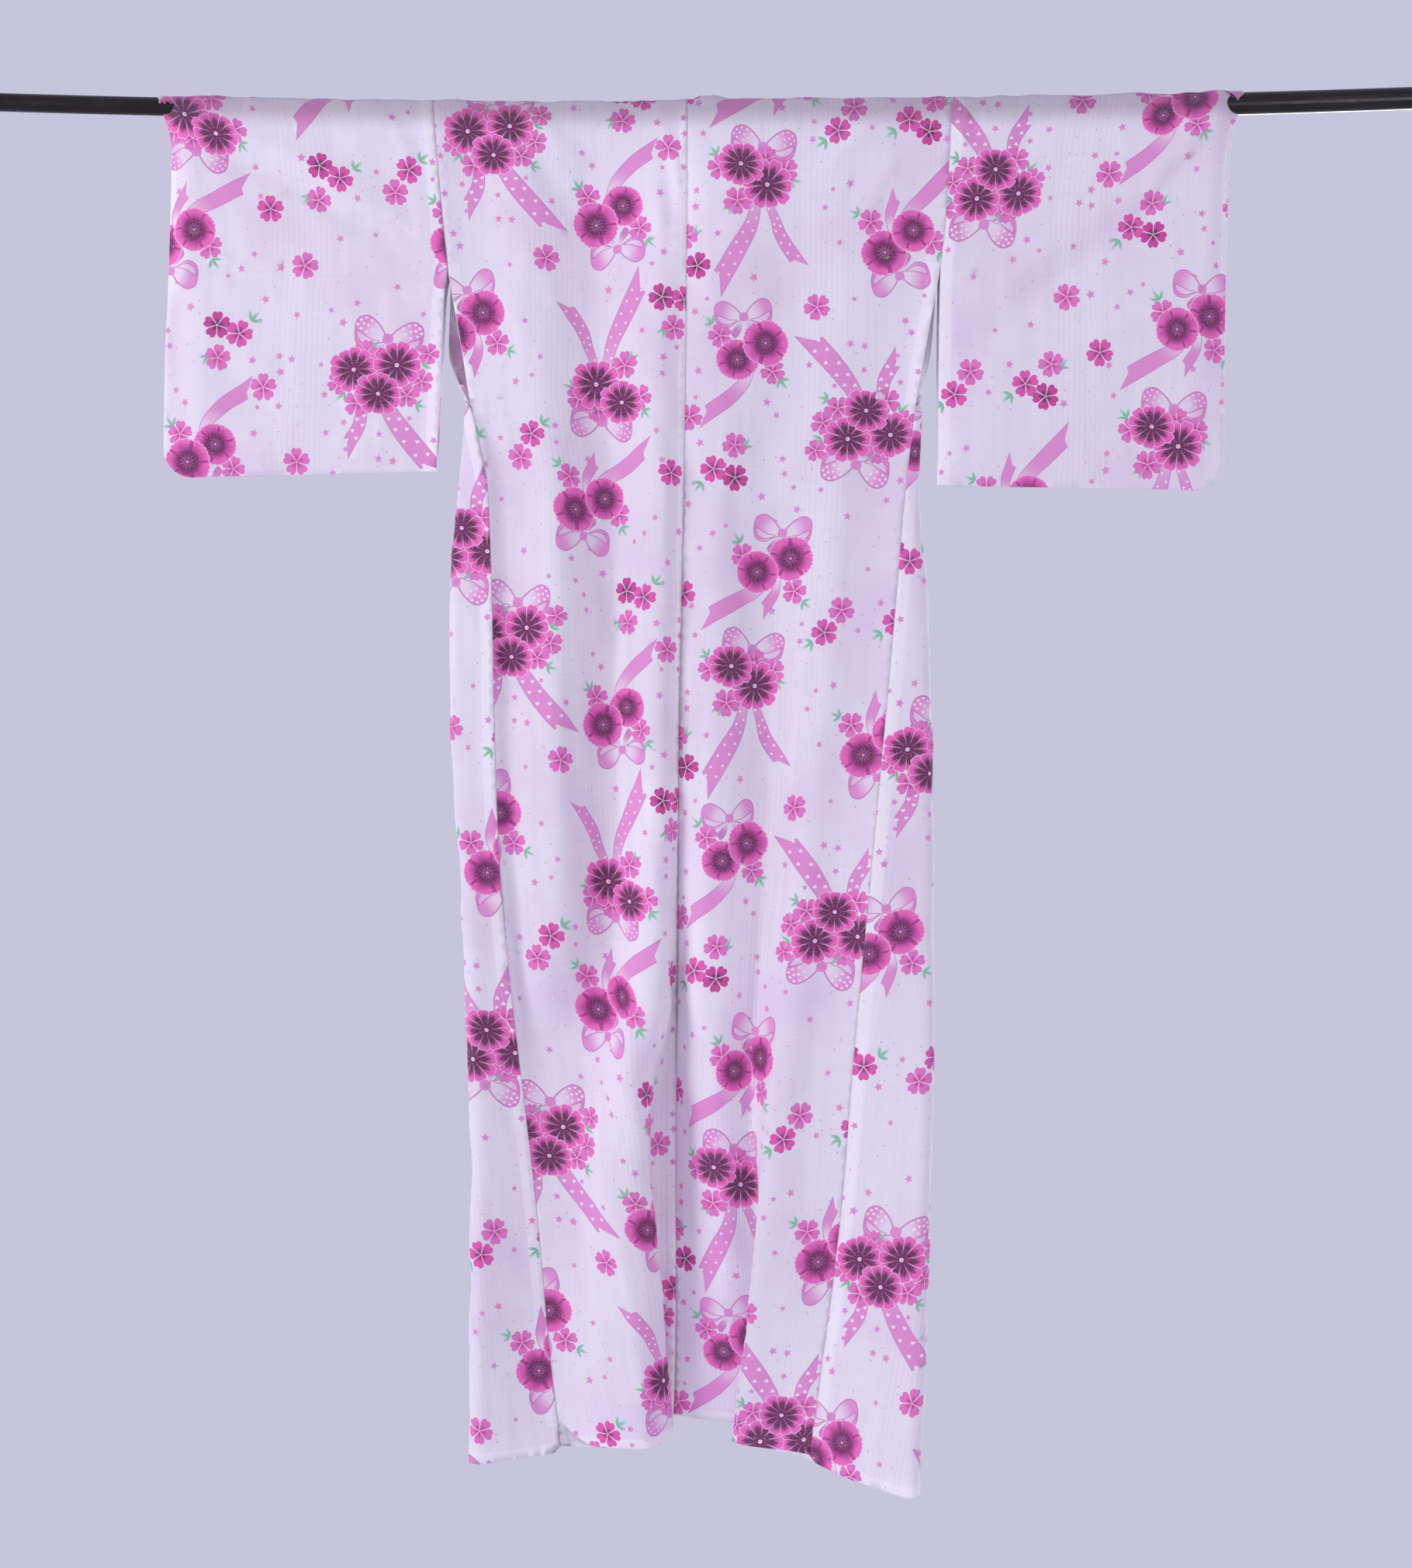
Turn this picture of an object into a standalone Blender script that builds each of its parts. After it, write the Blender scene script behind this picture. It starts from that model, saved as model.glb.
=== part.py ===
"""A women's cotton yukata hanging on a telescopic rod that runs through both of its sleeves.

Metres, +Z up, seen with its back towards -Y and its fronts towards +Y. The wearer's left is at -X and
the wearer's right is at +X. The origin is on the rod's axis at the middle of the robe, where the rod
is held. The robe's one surface is laid out from its sewing sizes: at each height a plan curve follows
the cloth from the centre back seam round the side to the front edge, with the cloth's true width.
Each sewn piece is that surface's own share, made into a wall and parted from its neighbours.
"""

import math

import bpy
import numpy as np

MM = 0.001
GAP = 0.19  # half of the gap between two pieces at a seam, mm
BAND_GAP = 0.5  # the thicker collar band stands this far from its seam, mm
CLOTH = 1.5  # thickness of one layer's wall, mm
BAND = 3.0  # thickness of the folded collar band, mm
SEGMENTS = 24  # round the rod

# The rod, mm
THIN_RADIUS = 11.0
THICK_RADIUS = 13.5
THIN_END = -925.0
THICK_END = 965.0
JOINT_X = -6.0
STEP_BEFORE, STEP_LENGTH = 48.0, 30.0  # the cloth steps up to the thick tube this far before the joint
SAG_SQUARED = 1.85e-5
SAG_SLOPE = 2.0e-3
SAG_FADES = 600.0  # drop at which the cloth's rows no longer follow the rod's sag
REST = 0.55  # room between the rod and the cloth that lies on it
TABLE_ROD = 13.5  # the tables' Y for cloth that touches the rod
OFF_ROD = 120.0  # drop at which the cloth's Y no longer follows the rod's real radius

# The robe's sewing sizes, mm
ARMHOLE = 200.0  # length of the sleeve seam, down from the rod
OPENING_FOOT = 370.0  # where the side seam starts
NECK_HALF = 90.0
NECK_FOOT = 124.0  # where the arch of the neck meets the straight front edges
NECK_TOP = 4.0  # how far the neck seam stands above the rod's axis, on its front side
FRONT = 240.0  # front width, side seam to overlap seam
TIP_DROP = 230.0  # the top of the overlap panels
COLLAR_END = 820.0
COLLAR_TOP, COLLAR_FOOT = 55.0, 75.0  # widths of the collar band
SLEEVE_CUFF = 230.0  # how far the cuff is open, down from the rod
SLEEVE_CORNER = 36.0
SLEEVE_SLIT = 3.6  # half the room between the two layers where they are sewn together
SLEEVE_SWAY = 3.0
HEM = 1690.0

LEFT, RIGHT = -1, 1

# Where the cloth is at each height. Drops are below the rod's axis; X is measured outwards.
CENTRE_COLUMNS = ("drop", "x", "y")
CENTRE = (
    (0, 0, -13.5), (370, -3, -11), (480, -5, -8), (630, -8, -3), (780, -11, 3), (960, -12, 10),
    (1100, -13, 17), (1220, -14, 24), (1340, -15, 31), (1460, -15, 38), (1580, -16, 44), (1690, -19, 50),
)
SIDE_COLUMNS = ("drop", "back_width", "seam_x", "seam_y", "side_x", "side_y", "turn", "edge_x", "edge_y")
SIDES = {
    LEFT: (
        (0, 323, 319.5, -13.5, 319.5, 13.5, 4, 90, 14),
        (124, 318, 309, -13, 309, 14, 4, 90, 15),
        (200, 312, 301, -12, 301, 14, 5, 72, 19),
        (300, 296, 284, -11, 303, 10, 7, 56, 27),
        (370, 284, 273, -9, 282, -4, 9, 47, 31),
        (480, 277, 250.6, -12, 290, -8, 12, 54, 37),
        (630, 274, 245, -15, 301, -12, 14, 54, 47),
        (780, 273, 242, -17, 298.6, -17, 15, 24, 58),
        (960, 272, 234.6, -18, 285.6, -22, 15, 0, 67),
        (1100, 272, 222, -17, 280, -25, 15, 2, 72),
        (1220, 272, 208.3, -14, 274.4, -29, 15, 6, 76),
        (1340, 272, 194.5, -10, 270.8, -30, 15, 14, 80),
        (1460, 272, 183.5, -3, 272, -30, 15, 27, 83),
        (1580, 272, 173.5, 3, 273, -29, 14, 40, 85),
        (1690, 272, 160, 5, 273.6, -28, 14, 52, 86),
    ),
    RIGHT: (
        (0, 333, 332, -13.5, 332, 13.5, 4, 90, 14),
        (124, 328, 326, -13, 326, 14, 4, 90, 15),
        (200, 321, 318, -12, 318, 14, 5, 76, 16),
        (300, 304, 300, -11, 309, 10, 7, 60, 17),
        (370, 293, 288, -9, 296, -4, 9, 52, 20),
        (480, 284, 274, -14, 293, -10, 12, 46, 24),
        (630, 278, 260.4, -20, 302.8, -18, 14, 40, 33),
        (780, 275, 246.4, -26, 307, -24, 15, 30, 43),
        (960, 272, 228.8, -33, 308, -36, 15, 48, 50),
        (1100, 272, 215.1, -38, 307, -48, 15, 62, 54),
        (1220, 272, 204.1, -40, 304.6, -60, 15, 72, 54),
        (1340, 272, 194.8, -39, 298.8, -72, 15, 80, 53),
        (1460, 272, 182.6, -35, 294.4, -84, 14, 90, 50),
        (1580, 272, 167, -30, 289, -95, 14, 102, 47),
        (1690, 272, 152.7, -23, 280.7, -105, 13, 114, 44),
    ),
}
# How far the cloth's edge is from the side seam along the front, and the collar's width there
FRONT_COLUMNS = ("drop", "edge", "collar")
FRONTS = (
    (124, 200, 55), (230, 240, 57), (480, 299, 65), (820, 378, 75), (1000, 380, 75), (1690, 390, 75),
)

# The folds: the cloth's direction in plan, degrees turned towards -Y from straight outwards, at
# named places between the centre seam and the side seam. Each row is one height.
FOLD_WIDTH = 272.0
BACK_PLACES = {
    LEFT: (0, 22, 38, 57, 99, 114, 146, 166, 205, 240, 272),
    RIGHT: (0, 30, 60, 88, 112, 130, 160, 178, 205, 240, 272),
}
BACK_FOLDS = {
    LEFT: (
        (0, (0, 0, 0, 0, 0, 0, 0, 0, 0, 0, 0)),
        (200, (4, 3, -1, -3, -2, 2, 3, 2, -3, 0, 3)),
        (370, (7, 5, -2, -6, -4, 3, 6, 4, -4, -2, 6)),
        (480, (14, 10, -4, -12, -8, 6, 12, 8, -8, -4, 12)),
        (630, (22, 18, -4, -18, -16, 6, 20, 14, -12, -8, 20)),
        (780, (28, 26, 2, -20, -22, 2, 24, 22, -10, -12, 24)),
        (960, (28, 32, 14, -14, -24, -8, 20, 24, -6, -12, 24)),
        (1100, (20, 30, 26, 8, -14, -18, 4, 12, 6, -6, 22)),
        (1220, (8, 24, 36, 38, 20, -4, -14, -12, 6, 10, 20)),
        (1340, (-4, 12, 36, 62, 52, 18, 0, -18, -12, 10, 18)),
        (1460, (-10, 0, 24, 92, 84, 36, 14, -16, -12, 5, 14)),
        (1580, (-12, -10, 8, 128, 124, 52, 36, -10, -10, 0, 10)),
        (1690, (-10, -10, -6, 158, 158, 62, 58, -5, -8, 0, 8)),
    ),
    RIGHT: (
        (0, (0, 0, 0, 0, 0, 0, 0, 0, 0, 0, 0)),
        (200, (3, 2, -1, -2, 0, 2, 3, 1, -1, 0, 2)),
        (370, (5, 3, -3, -4, -1, 4, 5, 2, -2, 0, 4)),
        (480, (10, 5, -5, -8, -2, 7, 10, 5, -4, 1, 8)),
        (630, (18, 10, -8, -14, -6, 12, 18, 10, -6, 2, 14)),
        (780, (26, 16, -8, -20, -10, 14, 24, 16, -6, 4, 18)),
        (960, (32, 22, -6, -22, -14, 16, 28, 18, -4, 8, 20)),
        (1100, (36, 28, 0, -20, -14, 22, 30, 12, -6, 8, 18)),
        (1220, (38, 34, 8, -16, -8, 34, 38, 6, -8, 5, 14)),
        (1340, (36, 36, 16, -6, 0, 52, 52, 4, -4, 5, 10)),
        (1460, (30, 32, 20, 5, 5, 80, 80, 10, 4, 5, 8)),
        (1580, (22, 24, 18, 10, 8, 120, 118, 18, 10, 8, 8)),
        (1690, (18, 20, 16, 14, 10, 160, 160, 20, 14, 12, 10)),
    ),
}
# The same for the fronts, in shares of the cloth between the side and the edge
FRONT_PLACES = (0, 0.14, 0.3, 0.46, 0.62, 0.78, 0.9, 1)
FRONT_FOLDS = {
    LEFT: (
        (0, (1, -1, 1, -1, 1, -1, 1, 0)),
        (370, (3, -7, 12, -12, 13, -12, 4, 0)),
        (780, (4, -8, 12, -10, 14, -10, 6, 0)),
        (1220, (0, -6, 12, 8, -12, 12, -8, -4)),
        (1690, (2, -8, 10, 14, -10, -14, 10, -6)),
    ),
    RIGHT: (
        (0, (1, -1, 1, -1, 1, -1, 1, 0)),
        (370, (3, -8, 12, -12, 14, -11, 3, 0)),
        (780, (4, -10, 10, -14, 12, -6, 4, 0)),
        (1220, (4, -10, 12, -10, 10, -10, 6, 0)),
        (1690, (4, -10, 8, 12, -12, 10, -8, 0)),
    ),
}
# Hem drops along the cloth from the centre seam, a row for each place
HEM_COLUMNS = ("place", "drop")
HEMS = {
    LEFT: ((0, 1680), (120, 1681), (230, 1687), (272, 1687), (277, 1695), (390, 1697), (662, 1702)),
    RIGHT: ((0, 1664), (110, 1668), (190, 1680), (272, 1687), (277, 1694), (415, 1706), (662, 1709)),
}
# Each sleeve: where its two upright edges are at each height, and its lower edge
SLEEVE_COLUMNS = ("drop", "inner", "outer")
SLEEVES = {
    LEFT: (
        (0, 319.5, 665), (55, 315, 651), (200, 301, 654), (230, 305, 655), (320, 309, 659), (470, 317, 661),
    ),
    RIGHT: ((0, 332, 699), (55, 329, 686), (200, 318, 680), (320, 316, 678), (470, 315.6, 677)),
}
SLEEVE_FOOT = {LEFT: (455, 463), RIGHT: (472, 480)}  # inner end, outer end
ROOM_COLUMNS = ("drop", "room")  # half the room between a sleeve's two layers
SLEEVE_ROOM = ((0, 13), (150, 11.5), (300, 10), (400, 8.5), (440, 6), (480, 3.6))

# Rows of the wall's grid
UPPER_ROWS = (8, 20, 38, 62, 92, 124, 165, 200, 230, 270, 320, 370)
LOWER_ROWS = (
    425, 480, 550, 620, 690, 755, 820, 890, 960, 1030, 1100, 1170, 1240, 1310, 1380, 1450, 1520, 1585, 1640,
)
SLEEVE_ROWS = (230, 270, 310, 350, 390, 420, 440, 452)
SLEEVE_FOOT_ROW = 1000.0  # stands for the sleeve's lower edge, whatever its drop is
SLEEVE_LAST = 464.0  # the row that would lie on the lower edge
ARC_STEPS = 8
SLEEVE_COLUMNS_COUNT = 11
OVERLAP_COLUMNS_COUNT = 7
COLLAR_COLUMNS_COUNT = 5
COLUMNS = {
    LEFT: (0, 18, 34, 43, 50, 58, 74, 92, 103, 112, 130, 148, 166, 200, 238, 272),
    RIGHT: (0, 30, 60, 88, 106, 116, 124, 133, 146, 157, 166, 175, 192, 216, 244, 272),
}
SPREAD_FROM, SPREAD_TO = 400.0, 1150.0  # between these drops the columns move to the folds
DEEPEST, DEEPER = 9.0, 0.05  # largest scale of a row's folds, and the step of the search for it

COTTON = (0.83, 0.80, 0.86, 1.0)
PAINT = (0.012, 0.010, 0.011, 1.0)


def ease(x):
    x = np.clip(x, 0.0, 1.0)
    return x * x * (3.0 - 2.0 * x)


def smooth(places, values, at):
    """Values between the rows of a table, by cubic pieces that never overshoot."""
    places, values = np.asarray(places, float), np.asarray(values, float)
    at = np.clip(np.asarray(at, float), places[0], places[-1])
    step = np.diff(places)
    rise = np.diff(values) / step
    slope = np.zeros(len(places))
    slope[0], slope[-1] = rise[0], rise[-1]
    for i in range(1, len(places) - 1):
        if rise[i - 1] * rise[i] > 0:
            a, b = 2 * step[i] + step[i - 1], step[i] + 2 * step[i - 1]
            slope[i] = (a + b) / (a / rise[i - 1] + b / rise[i])
    i = np.clip(np.searchsorted(places, at, side="right") - 1, 0, len(step) - 1)
    t = (at - places[i]) / step[i]
    h = step[i]
    return (
        values[i] * (1 + 2 * t) * (1 - t) ** 2
        + slope[i] * h * t * (1 - t) ** 2
        + values[i + 1] * t * t * (3 - 2 * t)
        + slope[i + 1] * h * t * t * (t - 1)
    )


def look_up(table, columns, name, at):
    rows = [row[0] for row in table]
    return smooth(rows, [row[columns.index(name)] for row in table], at)


def fold_angles(folds, places, drop, share):
    """The cloth's direction at these shares of its width, in radians."""
    heights = [row[0] for row in folds]
    here = [float(smooth(heights, [row[1][i] for row in folds], drop)) for i in range(len(places))]
    i = np.clip(np.searchsorted(places, share, side="right") - 1, 0, len(places) - 2)
    places, here = np.asarray(places, float), np.asarray(here)
    t = ease((share - places[i]) / (places[i + 1] - places[i]))
    return np.radians(here[i] + (here[i + 1] - here[i]) * t)


def walked(angles, length):
    """The path of a sheet's edge that starts at 0, 0 and follows these angles."""
    middle = (angles[1:] + angles[:-1]) / 2
    step = length / len(middle)
    x = np.concatenate([[0.0], np.cumsum(np.cos(middle)) * step])
    y = np.concatenate([[0.0], np.cumsum(-np.sin(middle)) * step])
    return x, y


def fitted(angles, length, start, end):
    """The folds made as deep as they need to be for the cloth to reach from start to end."""
    reach = math.hypot(end[0] - start[0], end[1] - start[1])

    def span(depth):
        x, y = walked(angles * depth, length)
        return math.hypot(x[-1], y[-1])

    low, high = 0.0, 0.0
    while span(high) > reach and high < DEEPEST:
        low, high = high, high + DEEPER
    if high > 0.0:
        for _ in range(40):
            middle = (low + high) / 2
            low, high = (middle, high) if span(middle) > reach else (low, middle)
    x, y = walked(angles * high, length)
    turn = math.atan2(end[1] - start[1], end[0] - start[0]) - math.atan2(y[-1], x[-1])
    scale = reach / math.hypot(x[-1], y[-1])
    c, s = math.cos(turn) * scale, math.sin(turn) * scale
    first = float(angles[0] * high) - turn
    return start[0] + c * x - s * y, start[1] + s * x + c * y, first


def rod_height(x):
    return SAG_SQUARED * x * x + SAG_SLOPE * x


def level(x, drop):
    """Z of the cloth at this drop: its rows follow the rod's sag, less and less further down."""
    return rod_height(x) * (1.0 - float(ease(drop / SAG_FADES))) - drop


def fold_radius(x):
    """The middle of the cloth's wall where it goes over the rod."""
    thick = ease((x - JOINT_X + STEP_BEFORE) / STEP_LENGTH)
    return THIN_RADIUS + (THICK_RADIUS - THIN_RADIUS) * thick + REST + CLOTH / 2


class Half:
    """One side of the robe: plan curves at each height, as outward X and Y along the cloth."""

    SAMPLES = 241

    def __init__(self, side):
        self.side = side
        self.known = {}
        self.hip = self.at("back_width", OPENING_FOOT)

    def at(self, name, drop):
        return float(look_up(SIDES[self.side], SIDE_COLUMNS, name, drop))

    def edge(self, drop):
        """How far the front's edge is from the side seam, along the cloth."""
        straight = float(look_up(FRONTS, FRONT_COLUMNS, "edge", drop))
        ease_in = float(ease((drop - NECK_FOOT) / (TIP_DROP - NECK_FOOT)))
        return straight + (self.hip - NECK_HALF - FRONTS[0][1]) * (1.0 - ease_in)

    def start(self, drop):
        """Where the front's cloth starts: past the side seam's line above the opening's foot."""
        return min(0.0, self.hip - self.at("back_width", drop)) if drop < OPENING_FOOT else 0.0

    def back(self, drop):
        width = self.at("back_width", drop)
        share = np.linspace(0, 1, self.SAMPLES)
        centre = (
            self.side * float(look_up(CENTRE, CENTRE_COLUMNS, "x", drop)),
            float(look_up(CENTRE, CENTRE_COLUMNS, "y", drop)),
        )
        angles = fold_angles(BACK_FOLDS[self.side], BACK_PLACES[self.side], drop, share * FOLD_WIDTH)
        x, y, _ = fitted(angles, width, centre, (self.at("seam_x", drop), self.at("seam_y", drop)))
        return share * width, x, y

    def front(self, drop):
        """The front's path from the side seam, or the side opening's edge, to past the collar."""
        total = self.edge(drop)
        collar = float(look_up(FRONTS, FRONT_COLUMNS, "collar", drop))
        begin, radius = self.start(drop), self.at("turn", drop)
        side_x, side_y = self.at("side_x", drop), self.at("side_y", drop)
        end = (self.at("edge_x", drop), self.at("edge_y", drop))
        share = np.linspace(0, 1, self.SAMPLES)
        angles = fold_angles(FRONT_FOLDS[self.side], FRONT_PLACES, drop, share)
        if drop < OPENING_FOOT:
            first = np.array([begin]), np.array([side_x]), np.array([side_y])
            turned = (side_x, side_y)
        else:
            seam = self.at("seam_x", drop), self.at("seam_y", drop)
            swing, lean = 0.0, 0.0
            for _ in range(8):
                outer = side_x - radius * (1 + math.sin(swing))
                swing = math.atan2(seam[1] - side_y, max(outer - seam[0], 1.0))
                straight = math.hypot(outer - seam[0], seam[1] - side_y)
                arc = np.linspace(swing, -math.pi + lean, 25)
                bend = radius * (swing + math.pi - lean)
                x, y = walked(arc, bend)
                x, y = x + outer, y + side_y
                used = straight + bend
                _, _, first_angle = fitted(angles, total - used, (x[-1], y[-1]), end)
                lean = first_angle + math.pi
                lean = (lean + math.pi) % (2 * math.pi) - math.pi
            s = np.concatenate([[0.0], straight + np.linspace(0, bend, 25)])
            first = s, np.concatenate([[seam[0]], x]), np.concatenate([[seam[1]], y])
            turned = (x[-1], y[-1])
        used = first[0][-1]
        x, y, _ = fitted(angles, total - used, turned, end)
        s = used + share * (total - used)
        return (
            np.concatenate([first[0][:-1], s, [total + collar]]),
            np.concatenate([first[1][:-1], x, [x[-1] - collar]]),
            np.concatenate([first[2][:-1], y, [y[-1]]]),
        )

    def curves(self, drop):
        if drop not in self.known:
            self.known[drop] = self.back(drop), self.front(drop)
        return self.known[drop]

    def point(self, sheet, along, drop):
        """The point this far along the back or front at this height."""
        s, x, y = self.curves(round(float(drop), 3))[0 if sheet == "back" else 1]
        px, py = float(np.interp(along, s, x)), float(np.interp(along, s, y))
        away = TABLE_ROD - fold_radius(self.side * px)
        py += (away if sheet == "back" else -away) * (1.0 - float(ease(drop / OFF_ROD)))
        return (self.side * px, py, level(self.side * px, drop))


halves = {side: Half(side) for side in (LEFT, RIGHT)}


def hem_drop(side, place):
    return float(look_up(HEMS[side], HEM_COLUMNS, "drop", place))


def neck_x(drop):
    """Half the neck's width at this drop, on the arch."""
    if drop >= NECK_FOOT:
        return NECK_HALF
    rise = (NECK_FOOT - drop) / (NECK_FOOT + NECK_TOP)
    return NECK_HALF * math.sqrt(max(0.0, 1.0 - rise * rise))


def on_rod(x, angle):
    """A point of the cloth on the rod. The angle is 0 at the front, pi at the back."""
    radius = fold_radius(x)
    return (x, radius * math.cos(angle), rod_height(x) + radius * math.sin(angle))


def back_columns(side, drop):
    """Shares of the back's width where the grid's columns are."""
    even = np.linspace(0, 1, len(COLUMNS[side]))
    placed = np.array(COLUMNS[side]) / FOLD_WIDTH
    t = float(ease((drop - SPREAD_FROM) / (SPREAD_TO - SPREAD_FROM)))
    return even + (placed - even) * t


def front_columns(side, drop):
    """Places along the front body's cloth, from its side edge to the neck or the overlap seam."""
    half = halves[side]
    begin = half.start(drop)
    end = min(half.edge(drop), FRONT) if drop >= NECK_FOOT else half.hip - neck_x(drop)
    count = len(COLUMNS[side])
    even = np.linspace(begin, end, count)
    if drop <= OPENING_FOOT:
        return even
    s, x, _ = half.curves(drop)[1]
    far = int(np.argmax(x))
    turn = half.at("turn", drop)
    before_turn, at_turn = 3, 6
    around = s[far] + turn * np.linspace(-1.5, 2.0, at_turn)
    before = np.linspace(0, around[0], before_turn + 1)[:-1]
    rest = np.linspace(around[-1], end, count - before_turn - at_turn + 1)[1:]
    placed = np.concatenate([before, around, rest])
    t = float(ease((drop - OPENING_FOOT) / 180.0))
    return even + (placed - even) * t


class Sheet:
    """The robe's surface as triangles, each named for the piece that it belongs to."""

    def __init__(self):
        self.points, self.index, self.faces, self.owner = [], {}, [], []

    def vertex(self, point):
        key = tuple(int(round(c * 50)) for c in point)
        if key not in self.index:
            self.index[key] = len(self.points)
            self.points.append(point)
        return self.index[key]

    def grid(self, owner, rows, flip=False):
        ids = [[self.vertex(p) for p in row] for row in rows]
        for upper, lower in zip(ids[:-1], ids[1:]):
            for a, b, c, d in zip(upper[:-1], upper[1:], lower[1:], lower[:-1]):
                for face in self.split(a, b, c, d):
                    if len(set(face)) == 3:
                        self.faces.append(face[::-1] if flip else face)
                        self.owner.append(owner)

    def split(self, a, b, c, d):
        """The quad as two triangles, cut along its shorter diagonal, the same on both sides of a wall."""
        if math.dist(self.points[a], self.points[c]) <= math.dist(self.points[b], self.points[d]):
            return [[a, b, c], [a, c, d]]
        return [[a, b, d], [b, c, d]]

    def normals(self):
        points = np.array(self.points)
        found = np.zeros_like(points)
        for face in self.faces:
            p = points[face]
            normal = np.zeros(3)
            for i in range(len(face)):
                normal += np.cross(p[i] - p[0], p[(i + 1) % len(face)] - p[0])
            found[face] += normal
        return points, found / np.linalg.norm(found, axis=1)[:, None]


def body_rows(side):
    """The rows of one body length: up the back, over the rod and down the front, then the tube."""
    half = halves[side]
    count = len(COLUMNS[side])
    back, front = {}, {}
    for drop in UPPER_ROWS + LOWER_ROWS:
        width = half.at("back_width", drop)
        back[drop] = [half.point("back", u * width, drop) for u in back_columns(side, drop)]
    width = half.at("back_width", HEM)
    back[HEM] = [half.point("back", u * width, hem_drop(side, u * width)) for u in back_columns(side, HEM)]
    for drop in UPPER_ROWS + LOWER_ROWS:
        front[drop] = [front_point(side, s, drop) for s in front_columns(side, drop)]
    front[HEM] = [half.point("front", s, hem_drop(side, width + s)) for s in front_columns(side, HEM)]
    top = []
    for step in range(ARC_STEPS + 1):
        row = []
        for k in range(count):
            x = side * half.at("seam_x", 0) * k / (count - 1)
            arch = NECK_TOP + NECK_FOOT
            rise = arch * math.sqrt(max(0.0, 1.0 - (x / NECK_HALF) ** 2)) - NECK_FOOT
            last = math.asin(max(0.0, rise - rod_height(x)) / fold_radius(x)) if abs(x) < NECK_HALF else 0.0
            row.append(on_rod(x, math.pi + (last - math.pi) * step / ARC_STEPS))
        top.append(row)
    return back, top, front


def front_point(side, s, drop):
    """A point of the front. Above the neck's foot the cloth lies flat between sleeve and arch."""
    half = halves[side]
    if drop >= NECK_FOOT:
        return half.point("front", s, drop)
    begin, end = half.start(drop), half.hip - neck_x(drop)
    share = (s - begin) / (end - begin)
    x = half.at("side_x", drop) + (neck_x(drop) - half.at("side_x", drop)) * share
    y = fold_radius(side * x) + (arch_y(side, x) - TABLE_ROD) * float(ease(drop / NECK_FOOT))
    return (side * x, y, level(side * x, drop))


def arch_y(side, x):
    """Where the front's plan curve is at the foot of the neck's arch, as if the rod had TABLE_ROD."""
    _, px, py = halves[side].curves(NECK_FOOT)[1]
    order = np.argsort(px)
    return float(np.interp(x, px[order], py[order])) - (fold_radius(side * x) - TABLE_ROD)


def add_body(sheet, side, name):
    back, top, front = body_rows(side)
    upper = [back[d] for d in UPPER_ROWS]
    sheet.grid(name, top[::-1][-1:] + upper, flip=side == RIGHT)
    sheet.grid(name, top, flip=side == LEFT)
    sheet.grid(name, [top[-1]] + [front[d][::-1] for d in UPPER_ROWS], flip=side == LEFT)
    lower = (OPENING_FOOT,) + LOWER_ROWS + (HEM,)
    sheet.grid(name, [back[d] + front[d][1:] for d in lower], flip=side == RIGHT)


def add_overlap(sheet, side, name):
    half = halves[side]
    rows = []
    for drop in [d for d in UPPER_ROWS if d >= TIP_DROP] + list(LOWER_ROWS):
        across = np.linspace(FRONT, half.edge(drop), OVERLAP_COLUMNS_COUNT)
        rows.append([half.point("front", s, drop) for s in across])
    width = half.at("back_width", HEM)
    last = np.linspace(FRONT, half.edge(HEM), OVERLAP_COLUMNS_COUNT)
    rows.append([half.point("front", s, hem_drop(side, width + s)) for s in last])
    sheet.grid(name, rows, flip=side == RIGHT)


def collar_row(side, drop):
    half = halves[side]
    edge = half.edge(drop)
    width = float(look_up(FRONTS, FRONT_COLUMNS, "collar", drop))
    across = np.linspace(edge, edge + width, COLLAR_COLUMNS_COUNT)
    return [half.point("front", s, drop) for s in across]


def arch_row(side, drop):
    """The collar across the neck's arch, from the seam to its free edge."""
    angle = math.acos(neck_x(drop) / NECK_HALF) if drop is not None else math.pi / 2
    row = []
    for inward in np.linspace(0, COLLAR_TOP, COLLAR_COLUMNS_COUNT):
        x = (NECK_HALF - inward) * math.cos(angle)
        z = -NECK_FOOT + (NECK_FOOT + NECK_TOP - inward) * math.sin(angle)
        radius = fold_radius(side * x)
        if z > 0:
            y = math.sqrt(max(radius * radius - z * z, 1.0))
        else:
            y = radius + (arch_y(side, x) - TABLE_ROD) * float(ease(-z / NECK_FOOT))
        row.append((side * x, y, level(side * x, -z)))
    return row


def add_collar(sheet, name):
    legs = [d for d in UPPER_ROWS + LOWER_ROWS if NECK_FOOT <= d <= COLLAR_END]
    arch = [d for d in UPPER_ROWS if d < NECK_FOOT]
    left = [collar_row(LEFT, d) for d in legs[::-1]] + [arch_row(LEFT, d) for d in arch[::-1]]
    right = [arch_row(RIGHT, d) for d in arch] + [collar_row(RIGHT, d) for d in legs]
    sheet.grid(name, left + [arch_row(RIGHT, None)] + right, flip=True)


def sleeve_edge(side, name, drop):
    return float(look_up(SLEEVES[side], SLEEVE_COLUMNS, name, drop))


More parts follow.
